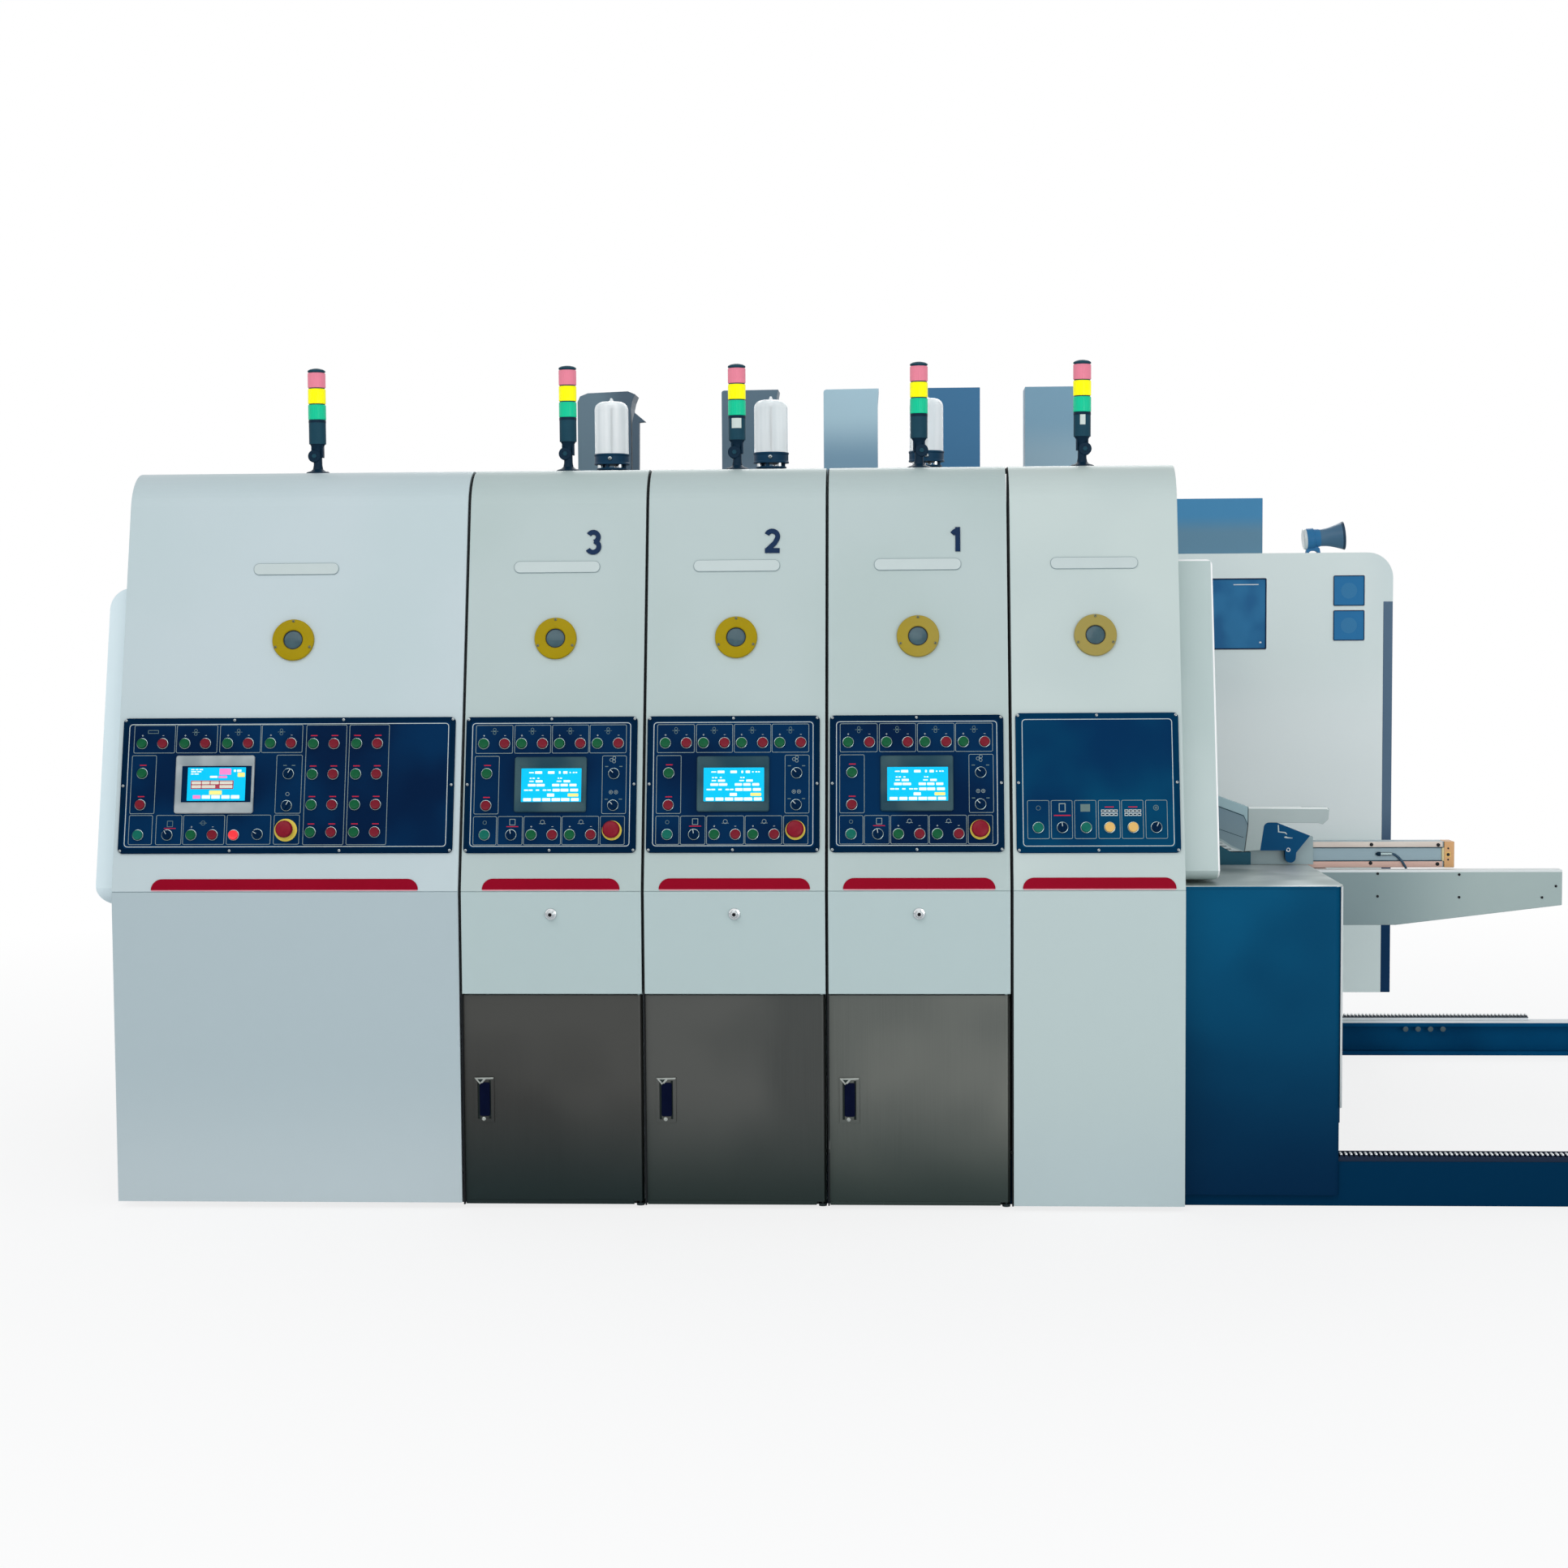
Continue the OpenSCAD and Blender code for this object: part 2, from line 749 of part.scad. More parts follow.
// The front outline of a duct: [cut, flare, drop] say how far its left shoulder is cut back,
// how far its right lip stands out and how far that lip drops below the top.
module duct_outline(w, z0, form) {
    cut = form[0];
    flare = form[1];
    top = duct_top - form[2];
    polygon([
        [0, z0], [w, z0], [w, duct_top - 0.3 * w],
        [w + 0.35 * flare, duct_top - 0.18 * w], [w + flare, top], [w - form[2], duct_top],
        [cut, duct_top - 0.15 * cut], [0.25 * cut, duct_top - 0.45 * cut], [0, duct_top - cut]
    ]);
}

plain_duct = [0, 0, 0];
cut_duct = [34, 14, 10];
flared_duct = [8, 10, 0];
tapered_duct = [9, 4, 0];

module duct(x, z0, form) {
    along_y(duct_y, duct_d) translate([x, 0]) {
        if (form == plain_duct) translate([0, z0]) square([duct_w, duct_top - z0]);
        else duct_outline(duct_w, z0, form);
    }
}

// A duct whose box reaches over the neighbouring unit, on a neck that stays on its own
module overhung_duct(x, neck_x) {
    duct(x, top_z + duct_over, tapered_duct);
    translate([neck_x, duct_y, top_z + seat]) cube([x + duct_w - neck_x - cut_over, duct_d, duct_over]);
}

post_w = 21;
post_top = 2190;
post_d = 30;
hook_w = 46;

// A post beside a duct, with a slanted hook at its head
module duct_post(x) {
    along_y(duct_y, post_d) translate([x, 0]) polygon([
        [0, top_z + seat], [post_w, top_z + seat], [1.15 * post_w, post_top - 1.6 * post_w],
        [hook_w, post_top - 1.5 * post_w], [0.4 * post_w, post_top], [0, post_top - 1.7 * post_w]
    ]);
}

/* End covers: rounded hoods beside the outermost units */

end_y = 78;
end_foot_r = 50;
left_z = [765, 1584];
left_r = 55;

// The side outline of an end cover, parallel to the main cover, with a round foot
module end_outline(z0, z1) {
    back = cover_d - seat;
    y0 = end_y + max(0, z0 - crease_z) * tan_lean;
    lean_back = end_y + (z1 - crease_z) * tan_lean;
    difference() {
        polygon([[y0, z0], [end_y, crease_z], [lean_back, z1], [back, z1], [back, z0]]);
        translate([y0, z0]) difference() {
            translate([-cut_over, -cut_over]) square(end_foot_r + cut_over);
            translate([end_foot_r, end_foot_r]) circle(end_foot_r);
        }
    }
}

module left_end_cover() {
    h = left_z[1] - left_z[0];
    intersection() {
        along_x(-left_cover_w, left_cover_w - seat) end_outline(left_z[0], left_z[1]);
        along_y(0, machine_d) translate([-left_cover_w, left_z[0]]) intersection() {
            round_rect(2 * left_cover_w, h, left_r);
            square([left_cover_w - seat, h]);
        }
    }
}

right_cover_w = 95;
right_z = [825, 1638];
right_r = 16;

module right_end_cover() {
    h = right_z[1] - right_z[0];
    x0 = line_end + seat;
    intersection() {
        along_x(x0, right_cover_w - seat) end_outline(right_z[0], right_z[1]);
        along_y(0, machine_d) translate([x0 - 2 * right_r, right_z[0]])
            round_rect(right_cover_w + 2 * right_r - seat, h, right_r);
    }
}

/* Feeding unit */

housing_r = 83;
strip_w = 31;
strip_top = 1546;
strip_d = 58;
housing_y = machine_d - cover_d;
housing_end = line_end + housing_out;

module feed_housing_body() {
    x0 = unit_left(FEED);
    w = housing_end - x0;
    h = housing_top - housing_z;
    difference() {
        along_y(housing_y + seat, cover_d - seat) translate([x0, housing_z]) intersection() {
            translate([-housing_r, -housing_r]) round_rect(w + housing_r, h + housing_r, housing_r);
            square([w, h]);
        }
        translate([housing_end - strip_w, housing_y - cut_over, housing_z - cut_over])
            cube([strip_w + cut_over, strip_d + 2 * cut_over, strip_top - housing_z + cut_over]);
    }
}

window_t = 8;
window_rim = 9;
window_deep = 3;
big_w = 257;
big_h = 233;
big_drop = 82;
small_w = 101;
small_h = 99;
small_gap = 15;
small_drop = 75;

// Framed windows on the housing's inner face, as [x, z, w, h]
big_window = [line_end + 0.262 * housing_out, housing_top - big_drop - big_h, big_w, big_h];
small_x = line_end + 0.786 * housing_out;
small_windows = [
    [small_x, housing_top - small_drop - small_h, small_w, small_h],
    [small_x, housing_top - small_drop - small_gap - 2 * small_h, small_w, small_h]
];

module window_plate(p) {
    translate([p[0], housing_y - window_t, p[1]]) difference() {
        cube([p[2], window_t, p[3]]);
        translate([window_rim, -cut_over, window_rim])
            cube([p[2] - 2 * window_rim, window_deep + cut_over, p[3] - 2 * window_rim]);
    }
}

// The dark strip at the housing's edge
module housing_strip() {
    translate([housing_end - strip_w + seat, housing_y + seat, housing_z])
        cube([strip_w - seat, strip_d, strip_top - housing_z - seat]);
}

base_y = 66;
base_back = 628;
base_z = 30;
base_skirt = 8;
base_r = 20;
rail_room = 160;
top_sheet_t = 4;
sheet_over = 4;

// The cabinet beside the feeding unit, open below for the rail and the wheels
module base_cabinet() {
    x0 = line_end + seat;
    difference() {
        translate([0, 0, base_z]) linear_extrude(base_top - base_z) translate([x0, base_y]) intersection() {
            translate([-base_r, 0]) round_rect(base_w + base_r, base_back - base_y, base_r);
            square([base_w, base_back - base_y]);
        }
        translate([x0 - cut_over, base_y + base_skirt, base_z - cut_over])
            cube([base_w + 2 * cut_over, rail_room, tunnel_h - base_z]);
    }
}

module base_top_sheet() {
    x0 = line_end + seat;
    w = base_w + sheet_over;
    d = base_back - base_y + sheet_over;
    translate([x0, base_y - sheet_over, base_top + seat]) linear_extrude(top_sheet_t) intersection() {
        translate([-base_r, 0]) round_rect(w + base_r, d, base_r + sheet_over);
        square([w, d]);
    }
}

table_beam_w = 50;
table_beam_drop = 4;
arm_y = 633;
arm_t = 40;
arm_flat = 640;
arm_tip_h = 97;

module arm() {
    x0 = line_end + seat;
    along_y(arm_y, arm_t) polygon([
        [x0, arm_top - arm_h],
        [x0 + arm_flat, arm_top - arm_h],
        [line_end + arm_out, arm_top - arm_tip_h],
        [line_end + arm_out, arm_top],
        [x0, arm_top]
    ]);
}

table_t = 20;
table_z = 780;
table_out = 460;
feed_wheel_d = 90;
feed_wheel_w = 20;
feed_wheel_up = 6;
feed_shaft_d = 25;
feed_rows = 3;
feed_columns = 10;
row_x = 100;
row_pitch = 130;
column_in = 100;
slot_side = 6;
slot_end = 4;

// The table and its shafts reach from the arm to the housing.
table_y = arm_y + arm_t + seat;
table_w = housing_y - seat - table_y;

module table_plate() {
    difference() {
        translate([line_end + seat, table_y, table_z]) cube([table_out, table_w, table_t]);
        for (x = feed_wheel_x(), y = feed_wheel_y())
            translate([x - feed_wheel_d / 2 - slot_side, y - slot_end, table_z - cut_over])
                cube([feed_wheel_d + 2 * slot_side, feed_wheel_w + 2 * slot_end, table_t + 2 * cut_over]);
    }
}

column_y = arm_y + arm_t + column_in;
column_pitch = (machine_d - 2 * column_y - feed_wheel_w) / (feed_columns - 1);
function feed_wheel_x() = [for (k = [0 : feed_rows - 1]) line_end + row_x + k * row_pitch];
function feed_wheel_y() = [for (k = [0 : feed_columns - 1]) column_y + k * column_pitch];

module feed_wheels() {
    z = table_z + table_t + feed_wheel_up - feed_wheel_d / 2;
    for (x = feed_wheel_x()) translate([x, 0, z]) rotate([-90, 0, 0]) {
        translate([0, 0, table_y]) cylinder(h = table_w, d = feed_shaft_d);
        for (y = feed_wheel_y()) translate([0, 0, y]) cylinder(h = feed_wheel_w, d = feed_wheel_d);
    }
}

guide_y = 700;
guide_w = 60;
guide_h = 72;
guide_x = line_end + 250;
guide_l = 561;
end_block_l = 25;
guide_strip_h = 10;
guide_strip_t = 5;
guide_strip_z = [6, 59];

// A guide beam with two strips along its outer face and an end block
module guide_beam() {
    translate([guide_x, guide_y, table_z + table_t + seat]) {
        cube([guide_l - end_block_l + cut_over, guide_w, guide_h]);
        for (z = guide_strip_z)
            translate([0, -guide_strip_t, z])
                cube([guide_l - end_block_l + cut_over, guide_strip_t + cut_over, guide_strip_h]);
        translate([guide_l - end_block_l, -guide_strip_t, 0])
            cube([end_block_l, guide_w + guide_strip_t, guide_h]);
    }
}

// The side guide on the front arm. Its outlines are in x and z, from the body's lower left corner.
guide_dx = 140;
guide_in = 4;
guide_front = arm_y + guide_in;
guide_back = arm_y + arm_t - guide_in;
guide_lift = 54;
guide_foot_in = 10;
guide_body_w = 100;
guide_body_h = 122;
guide_body_d = 90;
// The bracket stands beside the body along a bent line.
bracket_dx = 91;
bracket_w = 229;
bracket_top = 118;
bar_z = 77;
block_dx = 133;
block_w = 136;
block_top = bar_z - seat;
tab_r = 13;
tab_x = 82;
tab_z = 20;
carriage_dx = 107;
carriage_w = 182;
carriage_h = 80;
carriage_lift = 12;

module guide_foot() {
    along_y(guide_front, guide_back - guide_front) translate([guide_foot_in, -guide_lift + seat])
        square([guide_body_w - guide_foot_in, guide_lift - 2 * seat]);
}

module guide_body() {
    along_y(guide_front, guide_body_d) polygon(concat(
        shares([[0, 0.12], [0.4, 0]], guide_body_w, guide_body_h),
        [for (p = guide_seam) [p[0] - seat, p[1]]],
        shares([[0.87, 0.78], [0, 1]], guide_body_w, guide_body_h)
    ));
}

// The bent line between the body and the bracket
guide_seam = [[bracket_dx, 0], [1.1 * bracket_dx, 0.62 * bracket_top]];

// A flat bar with a rounded tip and a leg at its left end
module guide_bracket() {
    bar_end = bracket_dx + bracket_w;
    along_y(guide_front, guide_back - guide_front) polygon(concat(
        [[block_dx - seat, 0], [block_dx + 0.08 * block_w, 0.8 * bar_z], [block_dx + 0.15 * block_w, bar_z]],
        [[bar_end - 16, bar_z - 4], [bar_end - 1, bar_z + 8]],
        arc([bar_end - 5, bracket_top - 5], 5, 0, 90, 3),
        [[1.08 * bracket_dx, bracket_top], guide_seam[1], guide_seam[0]]
    ));
}

// The block under the bar, with a round tab at its foot
module guide_block() {
    along_y(guide_front, guide_back - guide_front) translate([block_dx, 0]) polygon(concat(
        [[0, 0], [0.08 * block_w, 0.8 * bar_z - seat], [0.16 * block_w, block_top]],
        [[0.35 * block_w, block_top], [block_w, 0.48 * bar_z], [0.7 * block_w, -6]],
        arc([tab_x, -tab_z], tab_r, 0, -180, 8),
        [[tab_x - tab_r, 0]]
    ));
}

// The carriage between the block and the guide beam
module guide_plate() {
    y0 = guide_back + seat;
    along_y(y0, guide_y - guide_strip_t - seat - y0) translate([carriage_dx, carriage_lift - guide_lift])
        polygon(shares([[0, 0], [1, 0], [1, 0.97], [0.87, 1], [0, 1]], carriage_w, carriage_h));
}

horn_l = 134;
horn_back_r = 35;
horn_neck_r = 28.5;
horn_mouth_r = 47;
horn_wall = 3;
horn_lift = 46;
horn_dx = 623;
horn_x = line_end + horn_dx;
// Angle by which the loudspeaker points upwards
horn_tilt = 5;
horn_foot = [30, 26];

// The loudspeaker's turned outline, as [radius, distance from its back]
function horn_points() = [
    [0, 0], [horn_back_r, 0], [horn_back_r, 0.24 * horn_l], [horn_neck_r, 0.26 * horn_l],
    [horn_neck_r, 0.45 * horn_l], [1.08 * horn_neck_r, 0.62 * horn_l], [0.8 * horn_mouth_r, 0.79 * horn_l],
    [0.93 * horn_mouth_r, 0.93 * horn_l], [horn_mouth_r, horn_l], [horn_mouth_r - horn_wall, horn_l],
    [0.72 * horn_mouth_r, 0.79 * horn_l], [0.55 * horn_mouth_r, 0.6 * horn_l], [0, 0.55 * horn_l]
];

/* Nodes */

// Distance of each unit's duct from the unit's left face
duct_in = [0, 39, 56, -69, 132];
post_x = 220;
neck_in = 8;
box_x = line_end + 107;
box_w = 377;
box_h = 181;

module die_frame() {
    color(cast) to_origin() unit_frame(DIE, die_rolls_list);
}

module die_covers() {
    color(paint) to_origin() {
        difference() {
            side_cover(DIE);
            crease_groove(DIE);
        }
        rear_side_cover(DIE);
    }
}

module die_end_covers() {
    color(paint) to_origin() both_sides() left_end_cover();
}

module die_rolls() {
    color(steel) to_origin() unit_rolls(DIE, die_rolls_list);
}

module die_panel() {
    color(navy) to_origin() control_panel(DIE, die_panel_w, die_controls) touch_screen(134, 99);
}

module die_beacon() {
    color(signal_red) to_origin() beacon(DIE);
}

module die_fittings() {
    color(signal_yellow) to_origin() unit_fittings(DIE);
}

module print_frame(i) {
    color(cast) to_origin() unit_frame(i, print_rolls);
}

module print_covers(i) {
    color(paint) to_origin() {
        print_cover(i);
        rear_side_cover(i);
    }
}

module print_door(i) {
    color(dark_steel) to_origin() {
        cabinet_door(i);
        door_handle(i);
    }
}

module print_rolls_of(i) {
    color(steel) to_origin() unit_rolls(i, print_rolls);
}

module print_panel(i) {
    color(navy) to_origin() control_panel(i, print_panel_w, print_controls) touch_screen(124, 100);
}

module print_beacon(i) {
    color(signal_red) to_origin() beacon(i);
}

module print_dome(i) {
    color(steel) to_origin() oil_dome(i);
}

module print_duct(x, form) {
    color(cast) to_origin() duct(x, top_z + seat, form);
}

module print_fittings(i) {
    color(signal_yellow) to_origin() {
        unit_fittings(i);
        cam_lock(i);
    }
}

module print3_frame() { print_frame(PRINT_3); }
module print3_covers() { print_covers(PRINT_3); }
module print3_door() { print_door(PRINT_3); }
module print3_rolls() { print_rolls_of(PRINT_3); }
module print3_panel() { print_panel(PRINT_3); }
module print3_beacon() { print_beacon(PRINT_3); }
module print3_oil_dome() { print_dome(PRINT_3); }
module print3_duct() {
    print_duct(unit_left(PRINT_3) + duct_in[PRINT_3], cut_duct);
    color(cast) to_origin() duct_post(unit_left(PRINT_3) + post_x);
}
module print3_fittings() { print_fittings(PRINT_3); }

module print2_frame() { print_frame(PRINT_2); }
module print2_covers() { print_covers(PRINT_2); }
module print2_door() { print_door(PRINT_2); }
module print2_rolls() { print_rolls_of(PRINT_2); }
module print2_panel() { print_panel(PRINT_2); }
module print2_beacon() { print_beacon(PRINT_2); }
module print2_oil_dome() { print_dome(PRINT_2); }
module print2_duct() { print_duct(unit_left(PRINT_2) + duct_in[PRINT_2], flared_duct); }
module print2_fittings() { print_fittings(PRINT_2); }

module print1_frame() { print_frame(PRINT_1); }
module print1_covers() { print_covers(PRINT_1); }
module print1_door() { print_door(PRINT_1); }
module print1_rolls() { print_rolls_of(PRINT_1); }
module print1_panel() { print_panel(PRINT_1); }
module print1_beacon() { print_beacon(PRINT_1); }
module print1_oil_dome() { print_dome(PRINT_1); }
module print1_duct() {
    x0 = unit_left(PRINT_1);
    color(cast) to_origin() overhung_duct(x0 + duct_in[PRINT_1], x0 + neck_in);
    print_duct(unit_right(PRINT_1) - duct_w - neck_in, plain_duct);
}
module print1_fittings() { print_fittings(PRINT_1); }

module feed_frame() {
    color(cast) to_origin() {
        unit_frame(FEED, feed_rolls_list);
        cross_beam(line_end - table_beam_w / 2, table_beam_w, arm_top - arm_h, arm_h - table_beam_drop);
    }
}

module feed_cover() {
    color(paint) to_origin() difference() {
        side_cover(FEED);
        crease_groove(FEED);
    }
}

module feed_housing() {
    color(paint) to_origin() feed_housing_body();
}

module housing_windows() {
    color(navy) to_origin() {
        window_plate(big_window);
        for (p = small_windows) window_plate(p);
        housing_strip();
    }
}

module feed_end_cover() {
    color(paint) to_origin() right_end_cover();
}

module feed_cabinet() {
    color(navy) to_origin() {
        base_cabinet();
        base_top_sheet();
    }
}

module feed_rolls() {
    color(steel) to_origin() unit_rolls(FEED, feed_rolls_list);
}

module feed_panel() {
    color(navy) to_origin() control_panel(FEED, feed_panel_w, feed_controls);
}

module feed_beacon() {
    color(signal_red) to_origin() beacon(FEED);
}

module feed_duct() {
    color(cast) to_origin() {
        duct(unit_left(FEED) + duct_in[FEED], housing_top + seat, plain_duct);
        translate([box_x, duct_y, housing_top + seat]) cube([box_w, duct_d, box_h]);
    }
}

module feed_fittings() {
    color(signal_yellow) to_origin() unit_fittings(FEED);
}

module feed_table() {
    color(steel) to_origin() {
        table_plate();
        feed_wheels();
    }
}

module side_arms() {
    color(paint) to_origin() arm();
}

module guide_beams() {
    color(steel) to_origin() guide_beam();
}

module side_guide() {
    color(paint) to_origin() translate([line_end + guide_dx, 0, arm_top + guide_lift]) {
        guide_foot();
        guide_body();
        guide_bracket();
        guide_block();
        guide_plate();
    }
}

module loudspeaker() {
    color(navy) to_origin() translate([horn_x, duct_y + horn_mouth_r, housing_top + seat]) {
        translate([0, 0, horn_lift]) rotate([0, 90 - horn_tilt, 0]) rotate_extrude() polygon(horn_points());
        translate([0.2 * horn_l, -horn_foot[1] / 2, 0])
            cube([horn_foot[0], horn_foot[1], horn_lift - 0.6 * horn_neck_r]);
    }
}

floor_rails();
rail_racks();
die_frame();
die_covers();
die_end_covers();
die_rolls();
die_panel();
die_beacon();
die_fittings();
print3_frame();
print3_covers();
print3_door();
print3_rolls();
print3_panel();
print3_beacon();
print3_oil_dome();
print3_duct();
print3_fittings();
print2_frame();
print2_covers();
print2_door();
print2_rolls();
print2_panel();
print2_beacon();
print2_oil_dome();
print2_duct();
print2_fittings();
print1_frame();
print1_covers();
print1_door();
print1_rolls();
print1_panel();
print1_beacon();
print1_oil_dome();
print1_duct();
print1_fittings();
feed_frame();
feed_cover();
feed_housing();
housing_windows();
feed_end_cover();
feed_cabinet();
feed_rolls();
feed_panel();
feed_beacon();
feed_duct();
feed_fittings();
feed_table();
side_arms();
guide_beams();
side_guide();
loudspeaker();
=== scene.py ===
"""Looks of a flexographic printing press: five units in a row on two floor rails.

Shapes are written in the machine's own millimetres: x from the die-cutting unit's left face,
y from the covers' front plane and z from the floor. Piece.make() moves them into the frame.
"""
from math import cos, pi, radians, sin, tan

import bmesh
import bpy
from mathutils import Matrix, Vector


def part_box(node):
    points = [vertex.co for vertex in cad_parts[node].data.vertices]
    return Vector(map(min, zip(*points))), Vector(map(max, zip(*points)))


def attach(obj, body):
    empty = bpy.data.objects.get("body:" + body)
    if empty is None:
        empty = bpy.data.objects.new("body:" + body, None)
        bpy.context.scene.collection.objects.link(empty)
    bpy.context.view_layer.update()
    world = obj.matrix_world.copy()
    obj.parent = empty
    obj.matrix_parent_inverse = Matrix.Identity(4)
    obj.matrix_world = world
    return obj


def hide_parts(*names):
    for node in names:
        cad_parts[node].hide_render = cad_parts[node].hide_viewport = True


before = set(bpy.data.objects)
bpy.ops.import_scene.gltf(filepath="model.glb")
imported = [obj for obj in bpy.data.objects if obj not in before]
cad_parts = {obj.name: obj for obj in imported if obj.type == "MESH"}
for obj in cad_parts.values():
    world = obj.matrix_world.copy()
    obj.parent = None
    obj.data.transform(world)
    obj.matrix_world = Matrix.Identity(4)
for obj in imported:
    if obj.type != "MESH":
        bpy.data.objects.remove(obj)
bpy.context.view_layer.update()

# The machine's own zero point, in the frame
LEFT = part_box("die_covers")[0].x
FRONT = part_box("die_covers")[0].y

CREASE_Z = 812
LEAN = 13.3
TOP_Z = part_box("die_covers")[1].z * 1000
TOP_R = 120
PANEL_UP = 97
PANEL_H = 347
PANEL_T = 6
PORT_UP = 650
PLATE_UP = 839
LOCK_Z = 753
PEDESTAL_H = 56
RACK_W = 24
RAIL_W = 80

UNITS = {
    "die": "die_cutting_unit",
    "print3": "printing_unit_3",
    "print2": "printing_unit_2",
    "print1": "printing_unit_1",
    "feed": "feeding_unit",
}
PRINTS = ("print3", "print2", "print1")


def span(node):
    """The lowest and highest corner of a CAD node, in machine millimetres."""
    lo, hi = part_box(node)
    zero = Vector((LEFT, FRONT, 0))
    return (lo - zero) * 1000, (hi - zero) * 1000


def covers_of(unit):
    return "feed_cover" if unit == "feed" else f"{unit}_covers"


def edges_of(unit):
    lo, hi = span(covers_of(unit))
    return lo.x, hi.x


def middle(unit):
    return sum(edges_of(unit)) / 2


def frame_x(x):
    return LEFT + x / 1000


def metres(p):
    """A point in machine millimetres, in the frame."""
    return frame_x(p.x), FRONT + p.y / 1000, p.z / 1000


def put(name, data):
    """A new object in the scene."""
    obj = bpy.data.objects.new(name, data)
    bpy.context.scene.collection.objects.link(obj)
    return obj


# ---------------------------------------------------------------- places

def T(x, y, z):
    return Matrix.Translation((x, y, z))


def R(angle, axis):
    return Matrix.Rotation(radians(angle), 4, axis)


def facing(x, y, z):
    """A place with y up and z out of the machine's front."""
    return T(x, y, z) @ R(90, "X")


def on_face(x, up):
    """A place with y up the covers' leaning face and z out of it."""
    return T(x, 0, CREASE_Z) @ R(90 - LEAN, "X") @ T(0, up, 0.3)


# ---------------------------------------------------------------- camera

def set_camera():
    data = bpy.data.cameras.new("camera")
    data.sensor_width = 36
    data.lens = 57.39
    data.clip_end = 200
    pan, tilt, roll = 2.71, 90 - 3.46, -0.37
    camera = put("camera", data)
    turn = R(pan, "Z") @ R(tilt, "X") @ R(roll, "Z")
    eye = T(LEFT + 2.005, FRONT - 6.227, 1.456)
    camera.matrix_world = eye @ turn
    bpy.context.scene.camera = camera


set_camera()


# ---------------------------------------------------------------- shapes
# A shape is (points, faces). Outlines are lists of (x, y), counter-clockwise.

def polar(r, angle):
    return r * cos(radians(angle)), r * sin(radians(angle))


def arc(cx, cy, r, a0, a1, n):
    turns = [polar(r, a0 + (a1 - a0) * k / n) for k in range(n + 1)]
    return [(cx + x, cy + y) for x, y in turns]


def round_rect(x0, y0, x1, y1, r=0.0, n=4):
    if r <= 0:
        return [(x0, y0), (x1, y0), (x1, y1), (x0, y1)]
    return (
        arc(x1 - r, y0 + r, r, -90, 0, n) + arc(x1 - r, y1 - r, r, 0, 90, n)
        + arc(x0 + r, y1 - r, r, 90, 180, n) + arc(x0 + r, y0 + r, r, 180, 270, n)
    )


def inset(outline, d):
    """The outline moved inwards by d, with mitred corners."""
    if not d:
        return list(outline)
    moved = []
    for k, (x, y) in enumerate(outline):
        px, py = outline[k - 1]
        qx, qy = outline[(k + 1) % len(outline)]
        a = Vector((x - px, y - py)).normalized()
        b = Vector((qx - x, qy - y)).normalized()
        na, nb = Vector((-a.y, a.x)), Vector((-b.y, b.x))
        side = na + nb
        if side.length < 1e-6:
            side = na
        side.normalize()
        reach = d / max(0.3, side.dot(na))
        moved.append((x + side.x * reach, y + side.y * reach))
    return moved


def level(outline, z):
    return [(x, y, z) for x, y in outline]


def stack(rings, closed=False):
    """Rings of 3D points joined one to the next. Ends are capped, or joined when closed."""
    n, count = len(rings[0]), len(rings)
    points = [p for ring in rings for p in ring]
    faces = []
    for k in range(count if closed else count - 1):
        a, b = k * n, (k + 1) % count * n
        for j in range(n):
            i = (j + 1) % n
            faces.append((a + j, a + i, b + i, b + j))
    if not closed:
        faces.append(tuple(range(n - 1, -1, -1)))
        faces.append(tuple(range((count - 1) * n, count * n)))
    return points, faces


def prism(outline, z0, z1, edge=0.0, low=0.0, steps=2):
    """An outline extruded from z0 to z1, with a rounded top edge and bottom edge."""
    turns = [pi / 2 * k / steps for k in range(steps + 1)]
    bottom = [(low * (1 - sin(a)), z0 + low * (1 - cos(a))) for a in turns] if low else [(0, z0)]
    top = [(edge * (1 - cos(a)), z1 - edge * (1 - sin(a))) for a in turns] if edge else [(0, z1)]
    return stack([level(inset(outline, d), z) for d, z in bottom + top])


def wall(outline, y0, y1, edge=0.0):
    """An outline in x and z, standing from y1 at the back to y0 at the front, where its edge is rounded."""
    points, faces = prism(outline, 0, y1 - y0, edge)
    return [(x, y1 - z, y) for x, y, z in points], faces


def hollow(outer, inner, z0, z1, edge=0.0):
    """A frame between two outlines with as many points."""
    rings = [level(outer, z0), level(outer, z1 - edge)]
    if edge:
        rings += [level(inset(outer, edge), z1), level(inset(inner, -edge), z1)]
    return stack(rings + [level(inner, z1 - edge), level(inner, z0)], closed=True)


def line_frame(x0, y0, x1, y1, r, w, z0, z1):
    """A thin printed line round a rectangle."""
    inner = round_rect(x0 + w, y0 + w, x1 - w, y1 - w, max(0.2, r - w))
    return hollow(round_rect(x0, y0, x1, y1, r), inner, z0, z1)


def lathe(profile, n=32, closed=False, flutes=0, depth=0.0):
    """A profile of (radius, z) turned round Z. Flutes are shallow grooves along it."""
    rings = []
    for r, z in profile:
        grooved = flutes and r > depth * 2
        turns = [2 * pi * k / n for k in range(n)]
        radii = [r - (depth * (0.5 - 0.5 * cos(a * flutes)) if grooved else 0) for a in turns]
        rings.append([(q * cos(a), q * sin(a), z) for q, a in zip(radii, turns)])
    return stack(rings, closed)


def block(x0, x1, y0, y1, z0, z1, edge=0.0):
    """A box with rounded edges."""
    return prism(round_rect(x0, y0, x1, y1, edge, 2), z0, z1, edge, edge)


